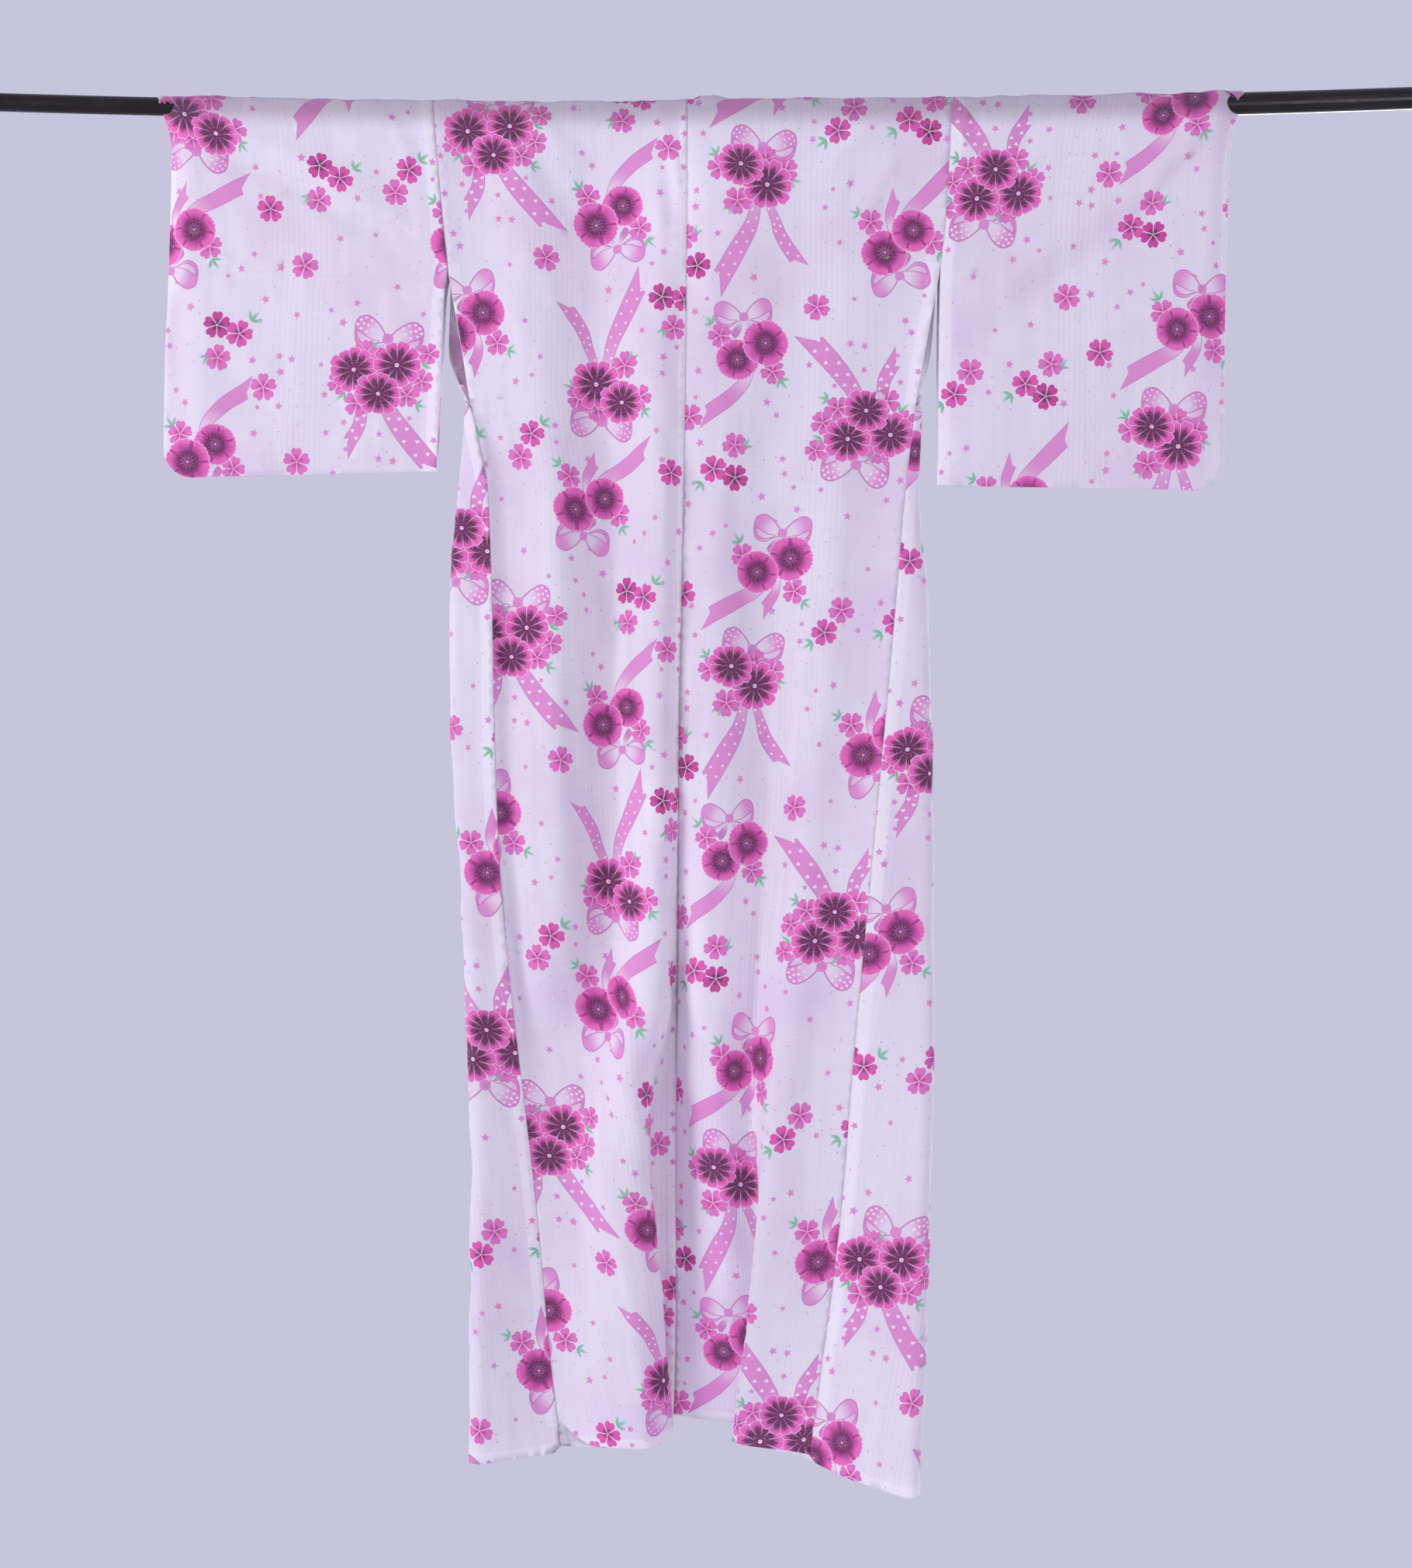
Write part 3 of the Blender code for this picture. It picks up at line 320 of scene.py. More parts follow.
# %% One half of the robe
class Half:
    """One side of the robe, sampled at even heights. Its points are read between the samples."""

    STEP, FOLD_SAMPLES, BEND_SAMPLES, FRONT_SAMPLES = 6.0, 241, 25, 561
    PAST_HEM = 31.0  # the samples go on below the hem, so that its edge can be read between two
    SETTLES = 8  # rounds until the side fold's swing and lean agree

    def __init__(self, side):
        self.side = side
        self.hip = self.width(OPENING_FOOT)
        self.drops = np.arange(0.0, HEM + self.PAST_HEM, self.STEP)
        self.backs = np.array([self.back_curve(d) for d in self.drops])
        self.fronts = np.array([self.front_curve(max(d, NECK_FOOT)) for d in self.drops])
        x, y = self.front_curve(NECK_FOOT)
        order = np.argsort(x)
        self.arch = x[order], y[order]

    def at(self, name, drop):
        return look_up(SIDES[self.side], SIDE_COLUMNS, name, drop)

    def edge(self, drop):
        straight = look_up(FRONTS, FRONT_COLUMNS, "edge", drop)
        ease_in = ease((np.asarray(drop, float) - NECK_FOOT) / (TIP_DROP - NECK_FOOT))
        return straight + (self.hip - NECK_HALF - FRONTS[0][1]) * (1.0 - ease_in)

    def collar(self, drop):
        return look_up(FRONTS, FRONT_COLUMNS, "collar", drop)

    def width(self, drop):
        return float(self.at("back_width", drop))

    def start(self, drop):
        """Where the front begins above the opening, past the side seam's own line."""
        over = np.minimum(0.0, self.hip - self.at("back_width", drop))
        return np.where(np.asarray(drop) < OPENING_FOOT, over, 0.0)

    def back_curve(self, drop):
        share = np.linspace(0, 1, self.FOLD_SAMPLES)
        centre = (self.side * float(look_up(CENTRE, CENTRE_COLUMNS, "x", drop)),
                  float(look_up(CENTRE, CENTRE_COLUMNS, "y", drop)))
        angles = fold_angles(BACK_FOLDS[self.side], BACK_PLACES[self.side], drop, share * FOLD_WIDTH)
        end = (float(self.at("seam_x", drop)), float(self.at("seam_y", drop)))
        x, y, _ = fitted(angles, self.width(drop), centre, end)
        return x, y

    def front_curve(self, drop):
        total, collar = float(self.edge(drop)), float(self.collar(drop))
        begin, radius = float(self.start(drop)), float(self.at("turn", drop))
        side_x, side_y = float(self.at("side_x", drop)), float(self.at("side_y", drop))
        end = (float(self.at("edge_x", drop)), float(self.at("edge_y", drop)))
        share = np.linspace(0, 1, self.FOLD_SAMPLES)
        angles = fold_angles(FRONT_FOLDS[self.side], FRONT_PLACES, drop, share)
        if drop < OPENING_FOOT:
            s, first_x, first_y = np.array([begin]), np.array([side_x]), np.array([side_y])
        else:
            seam = float(self.at("seam_x", drop)), float(self.at("seam_y", drop))
            swing, lean = 0.0, 0.0
            for _ in range(self.SETTLES):
                outer = side_x - radius * (1 + math.sin(swing))
                swing = math.atan2(seam[1] - side_y, max(outer - seam[0], 1.0))
                straight = math.hypot(outer - seam[0], seam[1] - side_y)
                bend = radius * (swing + math.pi - lean)
                x, y = walked(np.linspace(swing, -math.pi + lean, self.BEND_SAMPLES), bend)
                x, y = x + outer, y + side_y
                _, _, angle = fitted(angles, total - straight - bend, (x[-1], y[-1]), end)
                lean = (angle + 2 * math.pi) % (2 * math.pi) - math.pi
            s = np.concatenate([[0.0], straight + np.linspace(0, bend, self.BEND_SAMPLES)])
            first_x, first_y = np.concatenate([[seam[0]], x]), np.concatenate([[seam[1]], y])
        x, y, _ = fitted(angles, total - s[-1], (first_x[-1], first_y[-1]), end)
        along = np.concatenate([s[:-1], s[-1] + share * (total - s[-1]), [total + collar]])
        x = np.concatenate([first_x[:-1], x, [x[-1] - collar]])
        y = np.concatenate([first_y[:-1], y, [y[-1]]])
        even = np.linspace(begin, total + collar, self.FRONT_SAMPLES)
        return np.interp(even, along, x), np.interp(even, along, y)

    def read(self, rows, drop, share):
        r = np.clip(drop / self.STEP, 0, len(self.drops) - 1.001)
        c = np.clip(share, 0, 1) * (rows.shape[2] - 1)
        i, j = r.astype(int), np.minimum(c.astype(int), rows.shape[2] - 2)
        f, g = r - i, c - j
        return [(rows[i, k, j] * (1 - g) + rows[i, k, j + 1] * g) * (1 - f)
                + (rows[i + 1, k, j] * (1 - g) + rows[i + 1, k, j + 1] * g) * f for k in (0, 1)]

    def out(self, x, y, drop, away):
        x = self.side * x
        y = y + away * (TABLE_ROD - fold_radius(x)) * (1.0 - ease(drop / OFF_ROD))
        return np.stack([x, y, level(x, drop)], axis=1)

    def back(self, u, drop):
        """Points of the back, u from the centre seam."""
        x, y = self.read(self.backs, drop, u / self.at("back_width", drop))
        return self.out(x, y, drop, 1.0)

    def arch_y(self, x):
        return np.interp(x, *self.arch) - (fold_radius(self.side * x) - TABLE_ROD)

    def front(self, s, drop):
        """Points of the front, s from the side seam. Above the neck's foot it lies flat up to the arch."""
        begin = self.start(drop)
        x, y = self.read(self.fronts, drop, (s - begin) / (self.edge(drop) + self.collar(drop) - begin))
        low = self.out(x, y, drop, -1.0)
        share = (s - begin) / (self.hip - neck_x(drop) - begin)
        side_x = self.at("side_x", drop)
        x = side_x + (neck_x(drop) - side_x) * share
        radius = fold_radius(self.side * x)
        y = radius + (self.arch_y(x) - TABLE_ROD) * ease(drop / NECK_FOOT)
        high = np.stack([self.side * x, y, level(self.side * x, drop)], axis=1)
        return np.where((drop >= NECK_FOOT)[:, None], low, high)


halves = {side: Half(side) for side in (LEFT, RIGHT)}
print("the hang is sampled at", len(halves[LEFT].drops), "heights a side")

# %% [markdown]
# ## A flat pattern for every piece
# Cloth is flat before it is sewn, and so is its print. Each piece therefore keeps a flat pattern with two
# coordinates in millimetres, and a small function that says where each pattern point hangs. On a body
# length, u runs outwards from the centre back seam. v runs down the back from the rod, and the front lies
# beyond the short strip that goes over the rod, at negative v.

# %% Where a body length hangs
ARC = 42.0  # the strip over the rod, front to back


def on_rod(x, angle):
    """Cloth on the rod. The angle is 0 at the front and pi at the back."""
    radius = fold_radius(x)
    return np.stack([x, radius * np.cos(angle), rod_height(x) + radius * np.sin(angle)], axis=1)


def body_point(side, u, v):
    half = halves[side]
    back = half.back(u, np.maximum(v, 0.0))
    x = side * half.at("seam_x", 0.0) * u / half.at("back_width", 0.0)
    over = on_rod(x, math.pi * (1.0 + np.clip(v, -ARC, 0.0) / ARC))
    front = half.front(half.hip - u, np.maximum(-v - ARC, 0.0))
    return np.where((v >= 0)[:, None], back, np.where((v > -ARC)[:, None], over, front))


def hem_drop(side, place):
    return look_up(HEMS[side], HEM_COLUMNS, "drop", place)


print("the left hem is", float(hem_drop(LEFT, 0.0)), "mm below the rod at the centre")

# %% Where a sleeve hangs
WIDTH_DROP = 300.0  # the drop at which a sleeve has its cut width
TABLE_FOOT = 464.0  # the drop of a sleeve's lower edge in the tables
SEWN_ROOM = 0.9  # half the room between a sleeve's layers where a seam joins them
CLOSES = 30.0  # how far from a sewn edge the two layers come together
CLOSED_FROM = 0.86  # the share of the width where the outer seam begins to close them
CORNER_OPEN = 10.0  # how far from the middle of a round corner's curve it begins to close
SWAY_WAVES, SWAY_BELOW = 5.0, 300.0  # how often the sway turns across, and the drop where it is full
PULL_DOWN, PULL_ACROSS = 12.0, 0.35  # how far down, mm, and across, share, the armhole pulls the cloth


def sleeve_edge(side, name, drop):
    return look_up(SLEEVES[side], SLEEVE_COLUMNS, name, drop)


def sleeve_width(side):
    return float(sleeve_edge(side, "outer", WIDTH_DROP) - sleeve_edge(side, "inner", WIDTH_DROP))


def sleeve_room(x, low):
    """Half the room between the two layers, with the rod's own thickness at their top."""
    room = look_up(SLEEVE_ROOM, ROOM_COLUMNS, "room", low)
    return room + (fold_radius(x) - SLEEVE_ROOM[0][1]) * (1 - ease(low / OFF_ROD))


def sleeve_point(side, u, v):
    """u is across from the body, v down the back of the sleeve, with its front beyond the rod."""
    half = halves[side]
    front = v < -ARC / 2
    low = np.where(v >= 0, v, np.maximum(-v - ARC, 0.0))
    share = u / sleeve_width(side)
    foot_in, foot_out = SLEEVE_FOOT[side]
    foot = foot_in + (foot_out - foot_in) * share
    stretch = (TABLE_FOOT - ARMHOLE) / (foot - ARMHOLE)
    drop = np.where(low > ARMHOLE, ARMHOLE + (low - ARMHOLE) * stretch, low)
    inner, outer = sleeve_edge(side, "inner", drop), sleeve_edge(side, "outer", drop)
    x = side * (inner + (outer - inner) * share)
    room = sleeve_room(x, low)
    corner = np.hypot(np.maximum((share - 1) * sleeve_width(side) + SLEEVE_CORNER, 0),
                      np.maximum(low - foot + SLEEVE_CORNER, 0))
    by_seam = ease((share - CLOSED_FROM) / (1 - CLOSED_FROM))
    closed = np.maximum(ease((low - SLEEVE_CUFF + CLOSES) / (2 * CLOSES)) * by_seam,
                        ease((low - (foot - CLOSES)) / CLOSES))
    closed = np.maximum(closed, ease((corner - CORNER_OPEN) / (SLEEVE_CORNER - CORNER_OPEN)))
    room = room + (SEWN_ROOM - room) * closed
    sway = SLEEVE_SWAY * np.sin(share * SWAY_WAVES + side) * ease(low / SWAY_BELOW) * share
    at = np.stack([x, np.where(front, room, -room) + sway, level(x, low)], axis=1)
    seam_drop = np.minimum(low, ARMHOLE)
    seam_back = half.back(half.at("back_width", seam_drop), seam_drop)
    seam_front = half.front(half.start(seam_drop), seam_drop)
    edge_x = side * inner
    edge_room = sleeve_room(edge_x, low)
    edge = np.stack([edge_x, np.where(front, edge_room, -edge_room), level(edge_x, low)], axis=1)
    shift = np.where(front[:, None], seam_front, seam_back) - edge
    fade = (1.0 - ease((low - ARMHOLE) / PULL_DOWN)) * (1 - ease(share / PULL_ACROSS))
    at = at + shift * fade[:, None]
    start, end = half.at("seam_x", 0.0), sleeve_edge(side, "outer", 0.0)
    over = on_rod(side * (start + (end - start) * share), math.pi * (1.0 + np.clip(v, -ARC, 0.0) / ARC))
    return np.where(((v < 0) & (v > -ARC))[:, None], over, at)


print("the left sleeve is", round(sleeve_width(LEFT)), "mm wide")

# %% Where the collar band hangs: along it from the left end, up round the neck and down the right
LEG_DROPS = np.arange(NECK_FOOT, COLLAR_END + 1.0, 6.0)


def collar_lines(side, across):
    """The line of one leg at this share of the band's width, from its foot up to the neck."""
    half = halves[side]
    s = half.edge(LEG_DROPS) + half.collar(LEG_DROPS) * across
    return half.front(s, LEG_DROPS + 1e-6)[::-1]


def arch_line(side, across):
    """The band round the neck, from the straight front edge up to the middle of the back."""
    angle = np.linspace(0, math.pi / 2, 40)
    inward = COLLAR_TOP * across
    x = (NECK_HALF - inward) * np.cos(angle)
    z = -NECK_FOOT + (NECK_FOOT + NECK_TOP - inward) * np.sin(angle)
    radius = fold_radius(side * x)
    low = radius + (halves[side].arch_y(x) - TABLE_ROD) * ease(-z / NECK_FOOT)
    y = np.where(z > 0, np.sqrt(np.maximum(radius * radius - z * z, 1.0)), low)
    return np.stack([side * x, y, level(side * x, -z)], axis=1)


def band_line(across):
    left = np.concatenate([collar_lines(LEFT, across)[:-1], arch_line(LEFT, across)])
    right = np.concatenate([collar_lines(RIGHT, across)[:-1], arch_line(RIGHT, across)])[::-1]
    return np.concatenate([left, right[1:]])


BAND_SHARES = np.linspace(0, 1, 9)
MIDDLE = len(BAND_SHARES) // 2
BAND_LINES = np.array([band_line(a) for a in BAND_SHARES])
MIDDLE_STEPS = np.linalg.norm(np.diff(BAND_LINES[MIDDLE], axis=0), axis=1)
BAND_ALONG = np.concatenate([[0.0], np.cumsum(MIDDLE_STEPS)])
print("the collar band is", round(BAND_ALONG[-1]), "mm long")


def collar_point(u, v):
    """u is along the band. v is across it, stretched to its width at the foot all along."""
    share = np.clip(v / COLLAR_FOOT, 0, 1) * (len(BAND_SHARES) - 1)
    j = np.minimum(share.astype(int), len(BAND_SHARES) - 2)
    g = (share - j)[:, None]
    at = np.interp(u, BAND_ALONG, np.arange(len(BAND_ALONG)))
    i = np.minimum(at.astype(int), len(BAND_ALONG) - 2)
    f = (at - i)[:, None]
    return ((BAND_LINES[j, i] * (1 - f) + BAND_LINES[j, i + 1] * f) * (1 - g)
            + (BAND_LINES[j + 1, i] * (1 - f) + BAND_LINES[j + 1, i + 1] * f) * g)

# %% [markdown]
# ## The printed flowers
# Yukata cotton is printed before it is cut, with one design that repeats down the roll. A printer draws
# it in flat inks: a pale outline first, then the petals, then the dark streaks. Painting it in an image
# would tie the cloth to one resolution. Here each ink is a flat polygon instead, so that every edge
# stays sharp however close the camera comes, and a ramp of two colours gives each petal its shading.

# %% Inks
INK = {
    "plum": (96, 14, 80), "wine": (150, 30, 120), "magenta": (204, 56, 152), "rose": (228, 84, 174),
    "pink": (244, 104, 192), "cerise": (232, 116, 194), "blush": (246, 160, 216),
    "petal_line": (246, 184, 226), "orchid": (208, 128, 192), "mallow": (230, 144, 208),
    "lilac": (232, 184, 226), "pearl": (240, 224, 244), "mint": (126, 196, 160),
    "pale_mint": (204, 232, 220), "bead": (238, 232, 240), "paper": (247, 240, 251),
}


def linear(colour):
    """An ink's 0-255 screen colour as the linear light that a shader works in."""
    c = np.array(colour, float) / 255.0
    return np.where(c <= 0.04045, c / 12.92, ((c + 0.055) / 1.055) ** 2.4)


def turned(angle):
    return np.array([[math.cos(angle), math.sin(angle)], [-math.sin(angle), math.cos(angle)]])


class Motif:
    """Inked polygons, the later over the earlier, each shaded between two inks away from a point."""

    def __init__(self):
        self.shapes = []

    def ink(self, points, first, second=None, centre=(0.0, 0.0), near=0.0, far=1.0):
        self.shapes.append((np.array(points, float), first, second or first, centre, near, far))

    def add(self, other, x=0.0, y=0.0, turn=0.0, size=1.0, squash=1.0):
        """Another motif, squashed, sized, turned and moved."""
        grid = turned(math.radians(turn))
        for points, first, second, centre, near, far in other.shapes:
            points, centre = [
                (np.array(p, float) * (size, size * squash)) @ grid + (x, y) for p in (points, centre)]
            self.shapes.append((points, first, second, tuple(centre), near * size, far * size))


def ring(radius, count, x=0.0, y=0.0, start=0.0):
    """Points evenly round a centre. The radius may be a list with one for each point."""
    a = start + np.arange(count) * 2 * math.pi / count
    return np.stack([x + radius * np.cos(a), y + radius * np.sin(a)], axis=1)


def curve(points, per=4, closed=True):
    """A smooth line through these points."""
    p = np.array(points, float)
    p = np.concatenate([p[-1:], p, p[:2]] if closed else [p[:1], p, p[-1:]])
    out = []
    for a, b, c, d in zip(p, p[1:], p[2:], p[3:]):
        for t in np.arange(per) / per:
            out.append(0.5 * (2 * b + (c - a) * t + (2 * a - 5 * b + 4 * c - d) * t**2
                              + (3 * b - a - 3 * c + d) * t**3))
    return np.array(out if closed else out + [p[-1]])


def fan(half_outline, angle):
    """A petal from one half of its outline, mirrored over its own axis and turned."""
    half = np.array(half_outline, float)
    both = np.concatenate([half, half[::-1] * (1, -1)])
    keep = [0] + [i for i in range(1, len(both)) if np.hypot(*(both[i] - both[i - 1])) > 1e-6]
    return both[keep] @ turned(angle)


print("there are", len(INK), "inks")

# %% A daisy
def daisy(petals=11):
    """A big flower with narrow overlapping petals, dark at the middle, about 62 mm across."""
    made = Motif()
    made.ink(ring(19.0, 22), "plum", "magenta", near=9.0, far=19.0)
    for i in range(petals):
        angle = 2 * math.pi * i / petals
        reach = np.array([1.0 + 0.05 * math.sin(i * 2.4), 1.0])
        rim = [(5, 1.2), (12, 3.9), (19, 6.7), (25, 8.2), (29, 7.0), (30.8, 4.4), (30.4, 0.6)]
        fill = [(6, 0.7), (12, 3.1), (19, 5.8), (24.7, 7.3), (28.2, 6.2), (29.8, 3.9), (29.4, 0.4)]
        made.ink(fan(rim * reach, angle), "wine", "petal_line", near=8.0, far=18.0)
        made.ink(fan(fill * reach, angle), "plum", "pink", near=12.0, far=27.0)
        streak = [(5, 0.6), (11, 2.4), (16, 3.4), (20.5, 2.0), (25, 0.0)]
        made.ink(fan(streak * reach, angle), "plum", "magenta", near=16.0, far=27.0)
    made.ink(ring(3.8, 10), "plum")
    made.ink(ring(2.8, 8), "bead")
    made.ink(ring(1.4, 6, 0.3, 0.2), "mallow")
    return made


print("a daisy has", len(daisy().shapes), "shapes")

# %% A round flower
def carnation(petals=5):
    """A round flower with two rings of broad notched petals and a wide dark middle, about 62 mm across."""
    made = Motif()
    rim = [(8, 3.4), (15, 8.8), (21, 13.4), (26, 14.4), (28.6, 11.4), (28.0, 8.6), (30.6, 5.4),
           (29.6, 3.0), (31.2, 0.8)]
    fill = [(8, 2.6), (15, 7.9), (21, 12.4), (25.4, 13.3), (27.4, 10.9), (26.9, 8.0), (29.4, 5.0),
            (28.4, 2.7), (30, 0.5)]
    # The back ring of petals, then the front one: turn, reach, end colour, and where its ramp is
    for turn, reach, second, near, far in ((0.5, 0.94, "rose", 18.0, 29.0), (0.0, 1.0, "pink", 14.0, 24.0)):
        for i in range(petals):
            angle = 2 * math.pi * (i + turn + 0.06 * math.sin(i * 1.7)) / petals
            long = np.array([reach, 1.0])
            made.ink(fan(rim * long, angle), "magenta", "petal_line", near=19.0, far=30.0)
            made.ink(fan(fill * long, angle), "wine", second, near=near, far=far)
    notch = [(15, 0.3), (20, 1.3), (25, 2.1), (27, 0.9), (27.4, 0.0)]
    for i in range(petals):
        made.ink(fan(notch, 2 * math.pi * (i + 0.5) / petals), "wine", "magenta", near=17.0, far=27.0)
    teeth = np.arange(44)
    edge = np.where(teeth % 2 == 0, 16.2, 13.4) + 0.8 * np.sin(teeth * 6 * math.pi / 44)
    made.ink(ring(edge, 44), "plum", "wine", near=9.0, far=17.0)
    stamen = [(3, 0.3), (7, 0.8), (11.5, 0.0)]
    for i in range(12):
        made.ink(fan(stamen, 2 * math.pi * (i + 0.3) / 12), "orchid", "wine", far=11.0)
    made.ink(ring(2.0, 8), "mallow")
    return made


print("a round flower has", len(carnation().shapes), "shapes")

# %% Small flowers, leaves and stars
def blossom(inner="magenta", outer="cerise"):
    """A small flower of five notched petals, about 32 mm across."""
    made = Motif()
    rim = [(1, 0.4), (5, 3.0), (9.5, 6.2), (13.4, 6.8), (16.2, 5.0), (17.0, 2.4), (15.4, 0.2)]
    for i in range(5):
        angle = 2 * math.pi * i / 5 - math.pi / 2
        made.ink(fan(rim, angle), inner, outer, near=2.0, far=10.0)
        made.ink(fan([(2, 0.4), (6, 0.9), (9.6, 0.0)], angle), inner, outer, near=6.0, far=10.5)
    made.ink(ring(1.5, 6), "blush")
    return made


def leaves(count=4, spread=70.0):
    """A sprig of narrow leaves that opens upwards."""
    made = Motif()
    for i in range(count):
        angle = math.radians(-90 + spread * (i / (count - 1) - 0.5) * 2)
        length = 17.0 - 3.4 * abs(i - (count - 1) / 2)
        leaf = np.array([(0, 0.3), (length * 0.35, 2.1), (length * 0.7, 1.8), (length, 0.0)])
        made.ink(fan(leaf, angle), "mint", "pale_mint", near=5.0, far=18.0)
    return made


def star(radius=6.0):
    made = Motif()
    points = ring(np.where(np.arange(10) % 2 == 0, radius, radius * 0.46), 10, start=-math.pi / 2)
    made.ink(points, "mallow", "lilac", near=2.0, far=9.0)
    return made


def spot(kind, heart_size, dot_size):
    """A heart or a dot, the two marks that fill the bows and ribbons."""
    if kind == "hearts":
        half = [(0, -0.35), (0.5, -0.9), (1.0, -0.55), (0.85, 0.1)]
        return np.array(half + [(0, 1.0)] + [(-x, y) for x, y in half[:0:-1]]) * heart_size
    return ring(dot_size, 6)


print("a blossom has", len(blossom().shapes), "shapes, a sprig", len(leaves().shapes))

# %% Bows
def bow(spots=None):
    """A ribbon bow, two loops and two short ends round a knot, about 88 mm across."""
    made = Motif()
    loop = [(2, -3), (13, -17), (28, -26), (41, -21), (44, -6), (40, 10), (26, 15), (12, 8), (3, 4)]
    fill = [(4, -2.6), (14, -15.4), (28, -24.4), (39.8, -19.8), (42.6, -6), (38.8, 8.9), (26, 13.5),
            (13, 6.8), (4, 3)]
    lens = [(10, 4), (22, 2), (34, -4), (42, -7), (38, 6), (26, 11), (15, 7.6)]
    hollow = [(12, 4.6), (22, 3.4), (33, -1.6), (39.6, -4), (36.4, 4.8), (26, 9.4), (16, 6.8)]
    end = [(1, 3), (9, 9), (21, 22), (16, 31), (8, 24), (3, 12)]
    spot_places = ((17, -15.5), (24, -20), (31, -22), (37, -18.4), (40.4, -12.6), (33, -14.6), (27, -13),
                   (36, -8), (21, -8.6), (28, -5))
    # A shape, how finely it is curved, its two inks and where the ramp between them is
    layers = ((end, 3, "pearl", "orchid", 4.0, 26.0), (loop, 4, "orchid", None, 0.0, 1.0),
              (fill, 4, "pearl", "mallow", 14.0, 38.0), (lens, 3, "orchid", None, 0.0, 1.0),
              (hollow, 3, "pearl", "lilac", 14.0, 44.0))
    for side in (-1, 1):
        for outline, per, first, second, near, far in layers:
            made.ink(curve(np.array(outline) * (side, 1.0), per), first, second, near=near, far=far)
        for x, y in spot_places if spots else ():
            made.ink(spot(spots, 2.0, 1.45) + (x * side, y), "paper")
    knot = [(-5.5, -5.5), (5.5, -5.5), (6.5, 3.4), (0, 7), (-6.5, 3.4)]
    made.ink(curve(knot, 3), "orchid", "mallow", far=6.0)
    return made


print("a bow has", len(bow().shapes), "shapes")

# %% Ribbons
def ribbon(path, wide=15.0, spots=None, pale=0.0):
    """A ribbon's end along a curved path, cut to one long point."""
    made = Motif()
    line = curve(path, 5, closed=False)
    step = np.gradient(line, axis=0)
    step /= np.hypot(step[:, 0], step[:, 1])[:, None]
    across = np.stack([-step[:, 1], step[:, 0]], 1)
    share = np.linspace(0, 1, len(line))
    half = wide / 2 * (0.4 + 0.6 * np.sin(np.minimum(share * 1.15, 1.0) * math.pi / 2))
    length = float(np.hypot(*(line[-1] - line[0])))
    for inset, first, second in ((0.0, "orchid", "orchid"), (0.9, "pearl" if pale else "lilac", "mallow")):
        left, right = line + across * (half - inset)[:, None], line - across * (half - inset)[:, None]
        point = right[-1] + step[-1] * (wide * 1.05 - 2 * inset)
        notch = line[-1] + step[-1] * wide * 0.1 + across[-1] * half[-1] * 0.25
        made.ink(np.concatenate([left, [notch, point], right[::-1]]), first, second, centre=tuple(line[0]),
                 near=length * pale, far=length * (pale + 0.5))
    if spots:
        pieces = int(length / 7.5)
        for k in range(1, pieces + 1):
            i = int(k / pieces * (len(line) - 1))
            aside = half[i] * 0.5 * (1 if k % 2 else -1)
            made.ink(spot(spots, 2.6, 1.7) + line[i] + across[i] * aside, "paper")
    return made


print("a plain ribbon's end has", len(ribbon([(0, 0), (0, 40)]).shapes), "shapes")

# %% [markdown]
# ## The repeat
# The roll's design is 370 mm wide and repeats every 629 mm. Its big groups stand in staggered columns:
# three daisies with a bow and two ribbon ends, pairs of daisies, pairs of round flowers and threes of
# small ones. Small blossoms, stars and dots fill the rest. Each group is charted once in a short table.

# %% Groups of flowers
def group(rows):
    """Motifs placed by a short table of motif, x, y, turn, size and squash. What is left out is plain."""
    made = Motif()
    for motif, *where in rows:
        made.add(motif, *where)
    return made


DAISY, DAISY_10 = daisy(), daisy(10)
CARNATION, CARNATION_6 = carnation(), carnation(6)
PINK, DEEP, DARK = blossom(), blossom("wine", "rose"), blossom("plum", "magenta")
SPRIG, SPRIG_3 = leaves(), leaves(3, 50)

THREE_DAISIES = group((
    (ribbon([(2, 10), (-14, 38), (-18, 66), (-30, 88)], 18, "hearts"),),
    (ribbon([(6, 12), (16, 44), (38, 76), (70, 112)], 25, "hearts"),),
    (bow("hearts"), 14, -40, 8), (SPRIG, -8, -28, -10), (SPRIG_3, 58, -8, 60),
    (SPRIG_3, -38, 26, -130), (PINK, -14, -22, 12), (PINK, 58, 12, -8, 0.9),
    (PINK, -46, 14, 30, 0.9), (PINK, 40, 30, 0, 1, 0.9), (PINK, -22, 40, 14),
    (PINK, 66, -22, 20, 0.8), (SPRIG_3, 52, 42, 100, 0.9), (DAISY, -28, -2, 10, 1.0, 0.92),
    (DAISY_10, 26, -8, 0, 1.0, 0.96), (DAISY, 4, 28, 25, 0.98, 0.86),
))
TWO_DAISIES = group((
    (ribbon([(-8, -10), (-22, -44), (-30, -66), (-48, -92)], 17, "dots"),),
    (ribbon([(0, -12), (8, -50), (26, -84), (44, -116)], 24, "dots"),),
    (bow("dots"), -6, 46, 186, 0.95), (SPRIG, 34, -26, 30), (SPRIG_3, -40, 6, -80),
    (PINK, 26, -22, 0, 1.05), (PINK, -34, 18, 18), (PINK, -10, 30, -8),
    (PINK, 48, 20, 30, 0.95), (SPRIG_3, 52, 36, 140, 0.9), (DAISY_10, -12, 0, 5, 1.05, 0.96),
    (DAISY, 22, 24, 18, 0.98, 0.88),
))
